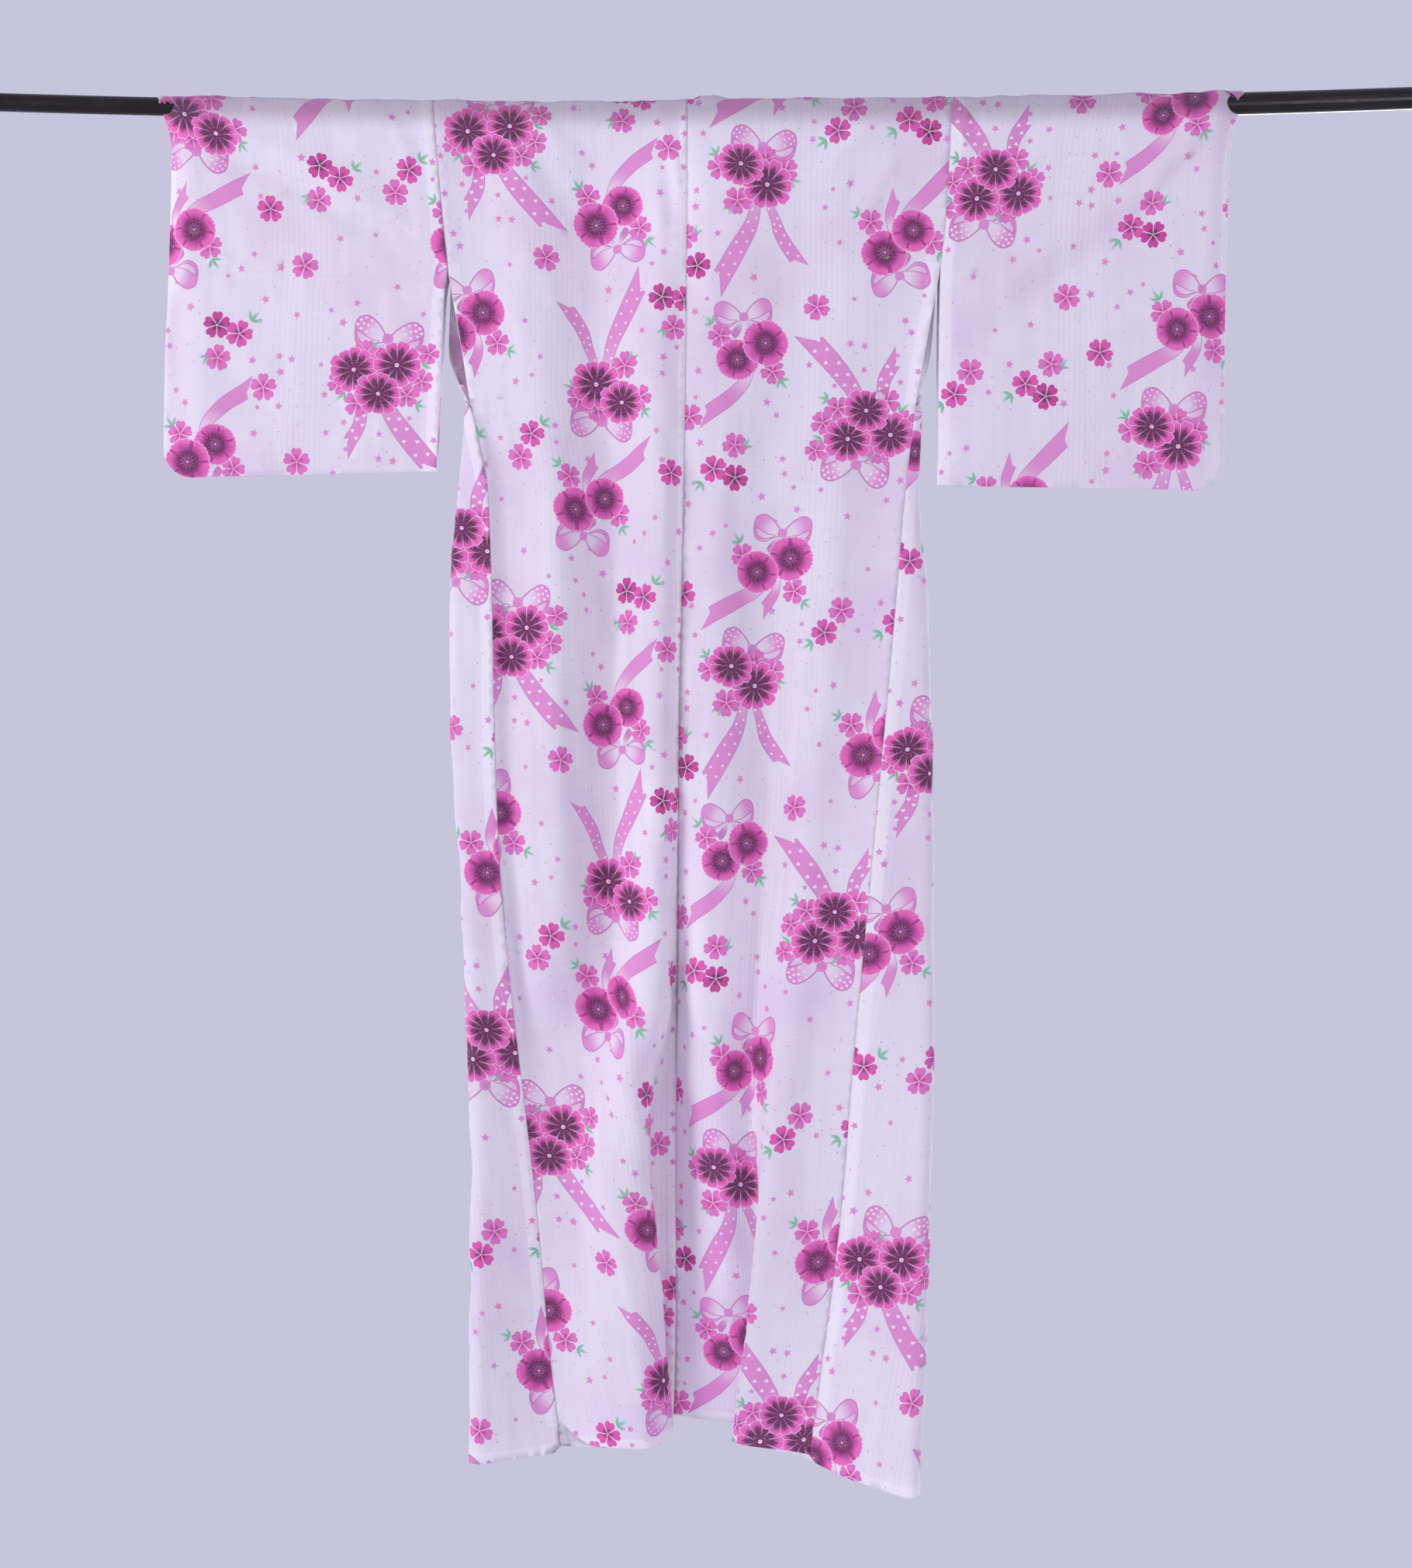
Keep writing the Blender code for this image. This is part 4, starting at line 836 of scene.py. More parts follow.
PAIR_UP = group((
    (ribbon([(2, 8), (-10, 34), (-34, 58), (-58, 82)], 21, None, 0.12),),
    (ribbon([(10, 12), (12, 32), (6, 52)], 14, None, 0.12),),
    (bow(), -2, -42, -12, 0.86), (SPRIG_3, -50, -14, -50), (PINK, -42, 0, 10, 0.95),
    (PINK, 36, 24, 0, 0.95), (SPRIG_3, 50, 34, 110, 0.9), (CARNATION, 18, -14, 0, 0.98, 0.96),
    (CARNATION_6, -18, 14, 20, 0.92, 0.94),
))
PAIR_DOWN = group((
    (ribbon([(0, -10), (6, -34), (26, -58), (48, -76)], 20, None, 0.12),),
    (bow(), 14, 46, 170, 0.84), (SPRIG_3, -38, -26, -40), (PINK, -28, -18, 0, 0.95),
    (PINK, 42, 20, 16, 0.9), (SPRIG_3, 52, 34, 130, 0.9), (CARNATION_6, 18, -8, 10, 0.9, 0.92),
    (CARNATION, -16, 16, 30, 0.98, 0.96),
))
THREE_SMALL = group((
    (SPRIG_3, 28, -10, 40), (SPRIG_3, -24, 34, -150, 0.9), (DARK, -14, -4),
    (DEEP, 14, 6, 20), (PINK, -12, 36, 8, 0.95),
))

print("the biggest group has", len(THREE_DAISIES.shapes), "shapes")

# %% The repeat's table
REPEAT_ACROSS, REPEAT_DOWN = 370.0, 629.0
# Each row: a group, where it stands across and down, its turn, and the room that it keeps clear
GROUPS = (
    (THREE_DAISIES, 118, 92, 0, 78), (PAIR_DOWN, 268, 190, 4, 62), (THREE_SMALL, 300, 40, 0, 40),
    (TWO_DAISIES, 262, 404, 0, 74), (PAIR_UP, 84, 330, 0, 66), (THREE_SMALL, 60, 474, 12, 40),
    (PAIR_UP, 232, 556, 196, 60), (THREE_SMALL, 352, 300, -20, 36), (PINK, 186, 250, 10, 18),
    (PINK, 20, 204, 0, 18), (DEEP, 162, 470, 20, 18), (PINK, 142, 498, 0, 18), (SPRIG_3, 176, 458, 60, 8),
    (PINK, 346, 112, 0, 18), (PINK, 22, 590, 14, 18), (DEEP, 350, 520, 0, 18),
)
# The small filling: what, how many, and how far apart at least
FILLING = (("star", 74, 15.0), ("dot", 120, 8.0))
NEAREST, FARTHEST = 0.82, 2.1  # the filling's distance from the next group, in shares of its clear room
GIVE_UP = 0.002  # the chance that a place which doesn't suit uses up a star or a dot


def scattered():
    """Stars and dots between the groups, as one fixed shuffle that leaves the groups clear."""
    rng = np.random.default_rng(7)
    placed = []
    for kind, count, room in FILLING:
        made = 0
        while made < count:
            x, y = rng.uniform(0, REPEAT_ACROSS), rng.uniform(0, REPEAT_DOWN)
            near = min(
                math.hypot(min(abs(x - across), REPEAT_ACROSS - abs(x - across)),
                           min(abs(y - down), REPEAT_DOWN - abs(y - down))) / clear
                for _, across, down, _, clear in GROUPS
            )
            alone = all(math.hypot(x - p[1], y - p[2]) > room for p in placed)
            if NEAREST < near < FARTHEST and alone:
                placed.append((kind, x, y, rng.uniform(0, 72), rng.uniform(0.7, 1.1)))
                made += 1
            elif rng.uniform() < GIVE_UP:
                made += 1
    return placed


def one_repeat():
    small = {"star": star(), "dot": Motif()}
    small["dot"].ink(ring(1.1, 5), "mallow")
    return group([(small[kind], *where) for kind, *where in scattered()] + [row[:4] for row in GROUPS])


REPEAT = one_repeat()
print("one repeat has", len(REPEAT.shapes), "inked shapes")

# %% [markdown]
# ## From flat pattern to printed cloth
# One mesh has to show folds and print at once. A subdivided grid would need millions of faces before a
# petal's edge looked clean. A constrained triangulation cuts the flat pattern along the edges of the ink
# instead, with an even spread of points between for the folds. The inks overlap, so it is done twice: once
# with every ink, to find where two different inks meet, and once more with those edges alone, which halves
# the triangles. Every triangle then has one ink, and the pattern's points are moved to where the cloth
# hangs, once for its outer face and once for its inner face.

# %% Creases and small unevenness
WAVES = 9  # how many waves are laid over one another
BOWED = 0.06  # how far a crease bows, in shares of its length


def unevenness(u, v, seed, size, depth):
    """Soft shallow waves with no clear direction, always the same for a seed."""
    rng = np.random.default_rng(seed)
    total = np.zeros_like(u)
    for k in range(WAVES):
        angle, length = rng.uniform(0, math.pi), size * rng.uniform(0.6, 1.7)
        phase = rng.uniform(0, 2 * math.pi)
        along = (u * math.cos(angle) * 1.5 + v * math.sin(angle)) / length
        bend = np.sin(v / (size * 2.7) + phase * 2 + k) * 0.8
        total += np.sin(along * 2 * math.pi + phase + bend)
    return depth * total / 3.0


def creased(u, v, creases):
    """Ridges and troughs along short lines, from rows of both ends, a width and a depth."""
    total = np.zeros_like(u)
    for u0, v0, u1, v1, width, depth in creases:
        du, dv = u1 - u0, v1 - v0
        length = math.hypot(du, dv)
        along = ((u - u0) * du + (v - v0) * dv) / length**2
        bowed = BOWED * length * np.sin(np.clip(along, 0, 1) * math.pi)
        across = ((u - u0) * dv - (v - v0) * du) / length + bowed
        taper = ease(along / 0.3) * ease((1 - along) / 0.4)
        total += depth * np.exp(-((across / width) ** 2)) * taper
    return total


print("the waves of seed 3 start", unevenness(np.zeros(1), np.zeros(1), 3, 90.0, 0.9).round(2), "mm off")

# %% Helpers for flat outlines
def even_line(points, step=8.0):
    """An outline's points, no further apart than this."""
    made = []
    points = [np.array(p, float) for p in points]
    for a, b in zip(points, points[1:] + points[:1]):
        count = max(1, int(math.ceil(np.hypot(*(b - a)) / step)))
        made += [a + (b - a) * k / count for k in range(count)]
    return np.array(made)


def inside(points, outline):
    """Which points are inside a closed outline, by counting crossings."""
    x, y = points[:, 0], points[:, 1]
    found = np.zeros(len(points), bool)
    for (x0, y0), (x1, y1) in zip(outline, np.roll(outline, -1, axis=0)):
        if y0 == y1:
            continue
        crossing = (y > min(y0, y1)) & (y <= max(y0, y1))
        found ^= crossing & (x < x0 + (y - y0) * (x1 - x0) / (y1 - y0))
    return found


def distance_to(points, line):
    """How far each point is from a closed line."""
    tree = KDTree(len(line))
    for i, (x, y) in enumerate(line):
        tree.insert((x, y, 0.0), i)
    tree.balance()
    return np.array([tree.find((x, y, 0.0))[2] for x, y in points])


def wound(points):
    """The polygon's points, anticlockwise."""
    x, y = points[:, 0], points[:, 1]
    area = (x * np.roll(y, -1) - np.roll(x, -1) * y).sum()
    return points if area > 0 else points[::-1]


print("a square of 24 mm gets", len(even_line([(0, 0), (24, 0), (24, 24), (0, 24)])), "points")

# %% Fewer points along straight edges of ink
LONGEST, BEND = 6.0, 0.06  # the longest edge that may replace two, and how far it may miss their corner


def straightened(points, edges, fixed):
    """Each point's neighbours along these edges, without the points in the middle of a straight line."""
    links = {}
    for a, b in edges:
        links.setdefault(a, []).append(b)
        links.setdefault(b, []).append(a)
    for v in [v for v in links if len(links[v]) == 2 and v not in fixed]:
        a, b = links[v]
        (ax, ay), (bx, by) = points[v] - points[a], points[b] - points[v]
        whole = math.hypot(ax + bx, ay + by)
        straight = abs(ax * by - ay * bx) < BEND * whole and ax * bx + ay * by > 0
        if whole < LONGEST and straight and b not in links[a]:
            links[a][links[a].index(v)], links[b][links[b].index(v)] = b, a
            del links[v]
    return links


print("an edge grows to", LONGEST, "mm where the ink's outline is straight")

# %% Where the print falls on a panel
SHAPE_SIZES = [float(np.ptp(shape[0], axis=0).max()) for shape in REPEAT.shapes]


class Printing:
    """Where the roll's repeat falls on a panel: upright, or turned upside down."""

    def __init__(self, across, down, upright):
        self.across, self.down, self.sign = across, down, (1 if upright else -1)

    def shapes(self, low, high, least):
        """The inked shapes that reach into this part of the pattern."""
        found = []
        p = sorted((self.across - low[0], self.across - high[0]))
        q = sorted((self.down + low[1] * self.sign, self.down + high[1] * self.sign))
        for i in range(int(p[0] // REPEAT_ACROSS) - 1, int(p[1] // REPEAT_ACROSS) + 2):
            for j in range(int(q[0] // REPEAT_DOWN) - 1, int(q[1] // REPEAT_DOWN) + 2):
                shift = (i * REPEAT_ACROSS, j * REPEAT_DOWN)
                for k, (points, *_) in enumerate(REPEAT.shapes):
                    at = self.on_pattern(points + shift)
                    reaches = (at.max(axis=0) > low).all() and (at.min(axis=0) < high).all()
                    if reaches and SHAPE_SIZES[k] >= least:
                        found.append((wound(at), k, shift))
        return found

    def on_pattern(self, points):
        """Places on the roll as the panel's u and v."""
        return np.stack([self.across - points[:, 0], (points[:, 1] - self.down) * self.sign], axis=1)

    def on_roll(self, flat):
        return np.stack([self.across - flat[:, 0], self.down + flat[:, 1] * self.sign], axis=1)


def inked(shape, shift, at):
    """The linear colour of a shape at these points of the roll."""
    _, first, second, centre, near, far = REPEAT.shapes[shape]
    distance = np.hypot(*(at - shift - centre).T)
    share = ease((distance - near) / max(far - near, 1e-6))[:, None]
    return linear(INK[first]) * (1 - share) + linear(INK[second]) * share


print("the largest shape of the print is", round(max(SHAPE_SIZES)), "mm across")

# %% A panel: outline, bands of double cloth, print and place
SHELL = 0.9  # thickness of the thin cloth
BAND_STEP = 7.0  # the distance between two points of a band's outline
CLEAR_OF_EDGE, CLEAR_OF_BAND, CLEAR_OF_INK = 3.0, 1.8, 2.6  # how near the even points come
WELD = 1e-4  # points closer than this become one
FLATTENS = 14.0  # the cloth's unevenness fades out over this width at its edges
HELD, FREE = 50.0, 70.0  # the cloth is held this far from a seam, and free this much further on
SEAM_SINK, LOOSE_SINK = 0.2, 5.0  # how far it may go inwards beside the seam, and how much more when free
COLLAR_MIDDLE = 37.0  # the line along the band's middle, where its two halves are measured from


class Panel:
    """One sewn piece as a flat pattern, with what is needed to hang, thicken and print it."""

    def __init__(self, name, outline, bands, place, outward, printing, creases=(), seed=0, waves=0.6,
                 cell=(8.0, 10.0), shell=SHELL, dense=(), from_seam=None, cuts=(), cut_along_u=False):
        self.name, self.place, self.outward, self.printing = name, place, outward, printing
        self.outline = wound(even_line(outline))
        self.bands = [wound(even_line(b, BAND_STEP)) for b in bands]
        self.creases, self.seed, self.waves, self.shell = creases, seed, waves, shell
        self.over_rod, self.from_seam = bool(dense), from_seam
        self.cuts, self.cut_along_u = cuts, cut_along_u
        self.grid = self.even_points(cell, dense)

    def even_points(self, cell, dense):
        """Rows of points for the folds, closer over the rod, and clear of the edges."""
        low, high = self.outline.min(axis=0), self.outline.max(axis=0)
        rows = np.arange(low[1] + cell[1] / 2, high[1], cell[1])
        for a, b, step in dense:
            rows = np.concatenate([rows[(rows < a) | (rows > b)], np.arange(a, b, step)])
        columns = np.arange(low[0] + cell[0] / 2, high[0], cell[0])
        v, u = np.meshgrid(np.sort(rows), columns, indexing="ij")
        u = u + (np.arange(len(v)) % 2 * cell[0] / 2)[:, None]
        points = np.stack([u.ravel(), v.ravel()], axis=1)
        points = points[inside(points, self.outline)]
        points = points[distance_to(points, even_line(self.outline, 3.0)) > CLEAR_OF_EDGE]
        for band_line in self.bands:
            points = points[distance_to(points, even_line(band_line, 3.0)) > CLEAR_OF_BAND]
        return points

    def laid_over(self, least):
        """The inks and bands laid one over another, as flat triangles with their top shape and doubling."""
        low, high = self.outline.min(axis=0), self.outline.max(axis=0)
        shapes = self.printing.shapes(low, high, least)
        polygons = [self.outline] + self.bands + [s[0] for s in shapes]
        starts = np.cumsum([0] + [len(p) for p in polygons])
        loops = [list(range(a, b)) for a, b in zip(starts[:-1], starts[1:])]
        made = delaunay_2d_cdt([tuple(p) for p in np.concatenate(polygons)], [], loops, 1, WELD, True)
        flat = np.array([(p[0], p[1]) for p in made[0]])
        turns, faces, cells = len(self.bands), [], []
        for face, origins in zip(made[2], made[5]):
            if 0 in origins and len(face) == 3:
                faces.append(tuple(face))
                cells.append((max(max(origins) - 1 - turns, -1), any(0 < k <= turns for k in origins)))
        return flat, faces, cells, shapes

    def triangles(self, least):
        """Flat points and triangles, with each triangle's shape and whether its cloth is double."""
        below, faces, cells, shapes = self.laid_over(least)
        beside = {}
        for face, cell in zip(faces, cells):
            for edge in zip(face, face[1:] + face[:1]):
                beside[edge] = cell
        seen = {tuple(sorted(e)) for e, cell in beside.items() if beside.get(e[::-1]) != cell}
        rim = {v for e in seen if e not in beside or e[::-1] not in beside for v in e}
        links = straightened(below, seen, rim)
        kept = sorted(links)
        index = {v: i for i, v in enumerate(kept)}
        edges = [(index[a], index[b]) for a in kept for b in links[a] if a < b]
        grid = self.grid[distance_to(self.grid, below[kept]) > CLEAR_OF_INK]
        points = np.concatenate([below[kept], grid])
        made = delaunay_2d_cdt([tuple(p) for p in points], edges, [], 1, WELD, False)
        flat = np.array([(p[0], p[1]) for p in made[0]])
        triangles = np.array([f for f in made[2] if len(f) == 3])
        triangles = triangles[inside(flat[triangles].mean(axis=1), self.outline)]
        under = BVHTree.FromPolygons(np.pad(below, ((0, 0), (0, 1))).tolist(), faces)
        middles = np.pad(flat[triangles].mean(axis=1), ((0, 0), (0, 1)))
        tops, double = zip(*(cells[under.find_nearest(m)[2]] for m in middles.tolist()))
        return flat, triangles, np.array(tops), np.array(double), shapes

    def raised(self, flat):
        """How far the cloth stands off its smooth fold. Its seams and hems stay on it."""
        u, v = flat[:, 0], flat[:, 1]
        lift = unevenness(u, v, self.seed, 90.0, self.waves)
        lift += unevenness(u, v, self.seed + 50, 34.0, self.waves * 0.3) + creased(u, v, self.creases)
        if self.from_seam:
            # Beside a seam that holds two layers together, cloth can hardly go inwards.
            loose = ease((self.from_seam(u, v) - HELD) / FREE)
            lift = np.maximum(lift, -SEAM_SINK - LOOSE_SINK * loose)
        return lift * ease(distance_to(flat, even_line(self.outline, 2.0)) / FLATTENS)

    def hung(self, flat):
        """The middle of the cloth at these pattern points, and its outward directions."""
        u, v = flat[:, 0], flat[:, 1]
        centre_u = (self.outline[:, 0].min() + self.outline[:, 0].max()) / 2
        step_u = np.where(u < centre_u, 1.0, -1.0)
        centre_v = 0.0 if self.outline[:, 1].min() < -1 else COLLAR_MIDDLE
        step_v = np.where(v > centre_v, -1.0, 1.0)
        here = self.place(u, v)
        along_u = (self.place(u + step_u, v) - here) * step_u[:, None]
        along_v = (self.place(u, v + step_v) - here) * step_v[:, None]
        normal = np.cross(along_u, along_v) * self.outward
        return here, normal / np.maximum(np.linalg.norm(normal, axis=1), 1e-9)[:, None]


print("the cloth is", SHELL, "mm thick")

# %% One face of the cloth
TURNED_EXTRA = 0.3  # what a turned hem adds to each face
LEAST_INSIDE = 14.0  # smaller shapes of the print don't show on the inside
INSIDE_STRENGTH = 0.5  # how strong the others look there


def loop_of(triangles, flat, corner):
    """The vertices round a flat triangulation, in order, from the one nearest to this corner."""
    edges = np.concatenate([triangles[:, [0, 1]], triangles[:, [1, 2]], triangles[:, [2, 0]]])
    present = set(map(tuple, edges.tolist()))
    follows = {a: b for a, b in present if (b, a) not in present}
    first = min(follows, key=lambda k: float(np.hypot(*(flat[k] - corner))))
    loop, at = [first], follows[first]
    while at != first and len(loop) <= len(follows):
        loop.append(at)
        at = follows[at]
    return loop


def one_face(panel, outer):
    """The outer or inner face: points, triangles, its rim, and what each triangle's corners carry."""
    flat, triangles, tops, double, shapes = panel.triangles(0.0 if outer else LEAST_INSIDE)
    in_double = np.zeros(len(flat))
    np.maximum.at(in_double, triangles.ravel(), np.repeat(double.astype(float), 3))
    here, normal = panel.hung(flat)
    half = (panel.shell / 2 + in_double * TURNED_EXTRA) * (1.0 if outer else -1.0)
    points = here + normal * (panel.raised(flat) + half)[:, None]
    rim = loop_of(triangles, flat, panel.outline[0])
    if (panel.outward > 0) != outer:
        triangles = triangles[:, ::-1]
    corners = flat[triangles]
    colour = np.zeros(corners.shape[:2] + (4,))
    for top in np.unique(tops[tops >= 0]):
        mine = np.nonzero(tops == top)[0]
        _, shape, shift = shapes[top]
        roll = panel.printing.on_roll(corners[mine].reshape(-1, 2))
        colour[mine, :, :3] = inked(shape, shift, roll).reshape(len(mine), 3, 3)
        colour[mine, :, 3] = 1.0 if outer else INSIDE_STRENGTH
    carried = (colour.reshape(-1, 4), np.repeat(double.astype(float), 3),
               np.full(len(triangles) * 3, float(outer)), corners.reshape(-1, 2))
    return points, triangles, flat, rim, carried


print("on the inside, shapes under", LEAST_INSIDE, "mm are left out")

# %% The rim between the two faces
def stitched(one, other, place_one, place_other):
    """Triangles between two loops that trace the same line with different points."""
    def shares(loop, places):
        steps = np.hypot(*(np.roll(places[loop], -1, axis=0) - places[loop]).T)
        return np.concatenate([[0.0], np.cumsum(steps)]) / steps.sum()

    a, b = shares(one, place_one), shares(other, place_other)
    after, i, j, made = len(place_one), 0, 0, []
    while i < len(one) or j < len(other):
        if j == len(other) or (i < len(one) and a[i + 1] <= b[j + 1]):
            made.append((one[(i + 1) % len(one)], one[i], after + other[j % len(other)]))
            i += 1
        else:
            made.append((one[i % len(one)], after + other[j], after + other[(j + 1) % len(other)]))
            j += 1
    return np.array(made)


print("the rim is stitched from edge to edge")

# %% A panel becomes a thin printed shell
PAINTED_SHADE_FADES = 30.0  # how far past the strip over the rod the painted shade there fades out


def build_panel(panel, material):
    """The outer face with all its ink, the inner face with the large shapes only, and the rim between."""
    outer, inner = one_face(panel, True), one_face(panel, False)
    rim = stitched(outer[3], inner[3], outer[2], inner[2])
    if panel.outward < 0:
        rim = rim[:, ::-1]
    points = np.concatenate([outer[0], inner[0]])
    faces = np.concatenate([outer[1], inner[1] + len(outer[0]), rim])
    mesh = bpy.data.meshes.new(panel.name)
    mesh.vertices.add(len(points))
    mesh.vertices.foreach_set("co", (points * MM).astype(np.float32).ravel())
    mesh.loops.add(faces.size)
    mesh.loops.foreach_set("vertex_index", faces.astype(np.int32).ravel())
    mesh.polygons.add(len(faces))
    mesh.polygons.foreach_set("loop_start", np.arange(0, faces.size, 3, dtype=np.int32))
    mesh.update(calc_edges=True)
    mesh.polygons.foreach_set("use_smooth", np.arange(len(faces)) < len(faces) - len(rim))

    blank = (np.zeros((rim.size, 4)), np.zeros(rim.size), np.ones(rim.size),
             np.concatenate([outer[2], inner[2]])[rim.ravel()])
    colour, double, side, flat = (np.concatenate(parts) for parts in zip(outer[4], inner[4], blank))
    down = flat[:, 1]
    # Painted shade: a share that is full on the strip over the rod and fades out on either side. It stands
    # for the black rod seen through the thin cloth and for the cloth's turn up over it.
    painted_shade_over_rod = ease((down + ARC + PAINTED_SHADE_FADES) / PAINTED_SHADE_FADES) * (1 - ease((down - 2.0) / PAINTED_SHADE_FADES))
    attributes = (
        ("print", "FLOAT_COLOR", "color", colour), ("rod", "FLOAT", "value", painted_shade_over_rod * panel.over_rod),
        ("double", "FLOAT", "value", double), ("outer", "FLOAT", "value", side),
        ("flat", "FLOAT_VECTOR", "vector", np.pad(flat * MM, ((0, 0), (0, 1)))),
    )
    for name, kind, key, values in attributes:
        attribute = mesh.attributes.new(name, kind, "CORNER")
        attribute.data.foreach_set(key, values.astype(np.float32).ravel())
    lay_out(mesh, panel, flat, side)
    obj = bpy.data.objects.new(panel.name, mesh)
    bpy.context.scene.collection.objects.link(obj)
    mesh.materials.append(material)
    print(panel.name, "has", len(faces), "triangles")
    return obj


print("the rod shows through to", PAINTED_SHADE_FADES, "mm below it")

# %% A layout for textures
BESIDE, BEYOND = 6.0, 30.0  # the free margins round each strip


def lay_out(mesh, panel, flat, side):
    """A flat layout of the panel's two faces for textures: strips side by side, all at one scale."""
    low, high, corner = panel.outline.min(axis=0), panel.outline.max(axis=0), flat.reshape(-1, 3, 2)
    if panel.cut_along_u:
        low, high, corner = low[::-1], high[::-1], corner[:, :, ::-1]
    wide = high[0] - low[0] + 2 * BESIDE
    strip = np.searchsorted(np.array(panel.cuts), corner.mean(axis=1)[:, 1])
    edges = np.array([low[1], *panel.cuts, high[1]])
    tall = np.diff(edges).max() + 2 * BEYOND
    column = strip * 2 + (side.reshape(-1, 3)[:, 0] < 0.5)
    scale = max(wide * 2 * (len(edges) - 1), tall)
    x = (corner[:, :, 0] - low[0] + BESIDE + column[:, None] * wide) / scale
    y = (corner[:, :, 1] - edges[strip][:, None] + BEYOND) / scale
    layer = mesh.uv_layers.new(name="OFBake")
    layer.data.foreach_set("uv", np.stack([x, y], axis=-1).astype(np.float32).ravel())


print("each strip of the layout has", BESIDE, "mm free beside it")

# %% [markdown]
# ## Cotton with a print
# Plain-woven cotton is matt, slightly fuzzy and not quite even in tone. This one has a lavender cast with
# soft pink clouds and fine woven ribs that run down the cloth. The print is read from each corner's own
# colour, the ribs and threads from the flat pattern's coordinates, so both follow the cloth round every
# fold. Hems are two layers thick and look a little whiter, because less light gets through them.

# %% Helpers for materials
class Finish:
    """A material and its nodes, with short calls for the few kinds used here."""

    def __init__(self, name):
        self.material = bpy.data.materials.new(name)
        self.material.use_nodes = True
        self.tree = self.material.node_tree
        self.shader = self.tree.nodes["Principled BSDF"]

    def node(self, kind, **settings):
        made = self.tree.nodes.new(kind)
        for key, value in settings.items():
            setattr(made, key, value)
        return made

    def put(self, socket, value):
        if isinstance(value, bpy.types.NodeSocket):
            self.tree.links.new(value, socket)
        else:
            socket.default_value = value

    def set(self, node=None, **values):
        """Values or links for sockets, by name. Without a node they are the shader's own."""
        for name, value in values.items():
            self.put((node or self.shader).inputs[name.replace("_", " ")], value)
        return node

    def attribute(self, name):
        return self.node("ShaderNodeAttribute", attribute_name=name)

    def scaled(self, vector, scale):
        return self.set(self.node("ShaderNodeMapping"), Vector=vector, Scale=scale).outputs["Vector"]

    def noise(self, vector, scale, detail=2.0, roughness=0.5):
        made = self.node("ShaderNodeTexNoise")
        return self.set(made, Vector=vector, Scale=scale, Detail=detail, Roughness=roughness).outputs["Fac"]

    def wave(self, vector, scale, axis, distortion=0.0):
        made = self.node("ShaderNodeTexWave", bands_direction=axis)
        return self.set(made, Vector=vector, Scale=scale, Distortion=distortion, Detail=1.0).outputs["Fac"]

    def math(self, operation, *values):
        made = self.node("ShaderNodeMath", operation=operation)
        for socket, value in zip(made.inputs, values + (0.0,)):
            self.put(socket, value)
        return made.outputs[0]

    def times(self, first, second):
        return self.math("MULTIPLY", first, second)

    def between(self, value, low, high, first=0.0, second=1.0):
        made = self.node("ShaderNodeMapRange", interpolation_type="SMOOTHSTEP")
        for socket, number in zip(made.inputs, (value, low, high, first, second)):
            self.put(socket, number)
        return made.outputs["Result"]

    def mixed(self, share, first, second, blend="MIX"):
        made = self.node("ShaderNodeMix", data_type="RGBA", blend_type=blend)
        self.set(made, Factor=share)
        sockets = [s for s in made.inputs if s.type == "RGBA"]
        self.put(sockets[0], first)
        self.put(sockets[1], second)
        return [s for s in made.outputs if s.type == "RGBA"][0]

    def bump(self, height, strength, distance):
        made = self.set(self.node("ShaderNodeBump"), Height=height, Strength=strength, Distance=distance)
        self.set(Normal=made.outputs["Normal"])


def rgb(*colour):
    return tuple(linear(colour)) + (1.0,)


print("white is", linear((255, 255, 255)), "as light")

# %% The cotton
cotton = Finish("printed_cotton")
flat = cotton.attribute("flat").outputs["Vector"]
ink = cotton.attribute("print")
double, outer = (cotton.attribute(name).outputs["Fac"] for name in ("double", "outer"))

# The ground: pink clouds, long streaks, ribs in bands, and a few thick threads across
clouds = cotton.between(cotton.noise(flat, 5.0, 3.0, 0.55), 0.42, 0.72)
streaks = cotton.between(cotton.noise(cotton.scaled(flat, (60.0, 4.0, 1.0)), 1.0, 2.0), 0.3, 0.75)
ribs = cotton.wave(flat, 46.0, "X", 0.6)
rib_bands = cotton.between(cotton.noise(cotton.scaled(flat, (9.0, 0.6, 1.0)), 1.0, 1.0), 0.4, 0.62)
ribs = cotton.times(ribs, rib_bands)
ground = cotton.mixed(clouds, rgb(240, 233, 247), rgb(232, 212, 240))
ground = cotton.mixed(cotton.times(streaks, 0.35), ground, rgb(224, 214, 236))
ground = cotton.mixed(cotton.times(ribs, 0.3), ground, rgb(250, 245, 253))
slubs = cotton.between(cotton.noise(cotton.scaled(flat, (10.0, 360.0, 1.0)), 1.0, 2.0), 0.45, 0.7)
ground = cotton.mixed(cotton.times(slubs, 0.13), ground, rgb(222, 208, 238))

# The inside is paler, a hem is whiter, and ink takes unevenly
ground = cotton.mixed(outer, cotton.mixed(0.6, ground, rgb(246, 242, 252)), ground)
ground = cotton.mixed(cotton.times(double, 0.55), ground, rgb(250, 246, 252))
taken = cotton.between(cotton.noise(flat, 420.0, 2.0, 0.6), 0.2, 0.9, 1.0, 0.86)
colour = cotton.mixed(cotton.times(ink.outputs["Alpha"], taken), ground, ink.outputs["Color"])
colour = cotton.mixed(1.0, colour, rgb(239, 237, 236), "MULTIPLY")
# Painted shade over the rod: the colour is darkened there for the black rod behind the thin cloth and for the
# cloth's turn over it
painted_rod_shade_mix = cotton.times(cotton.attribute("rod").outputs["Fac"], 0.44)
cotton.set(Base_Color=cotton.mixed(painted_rod_shade_mix, colour, rgb(70, 60, 68)))

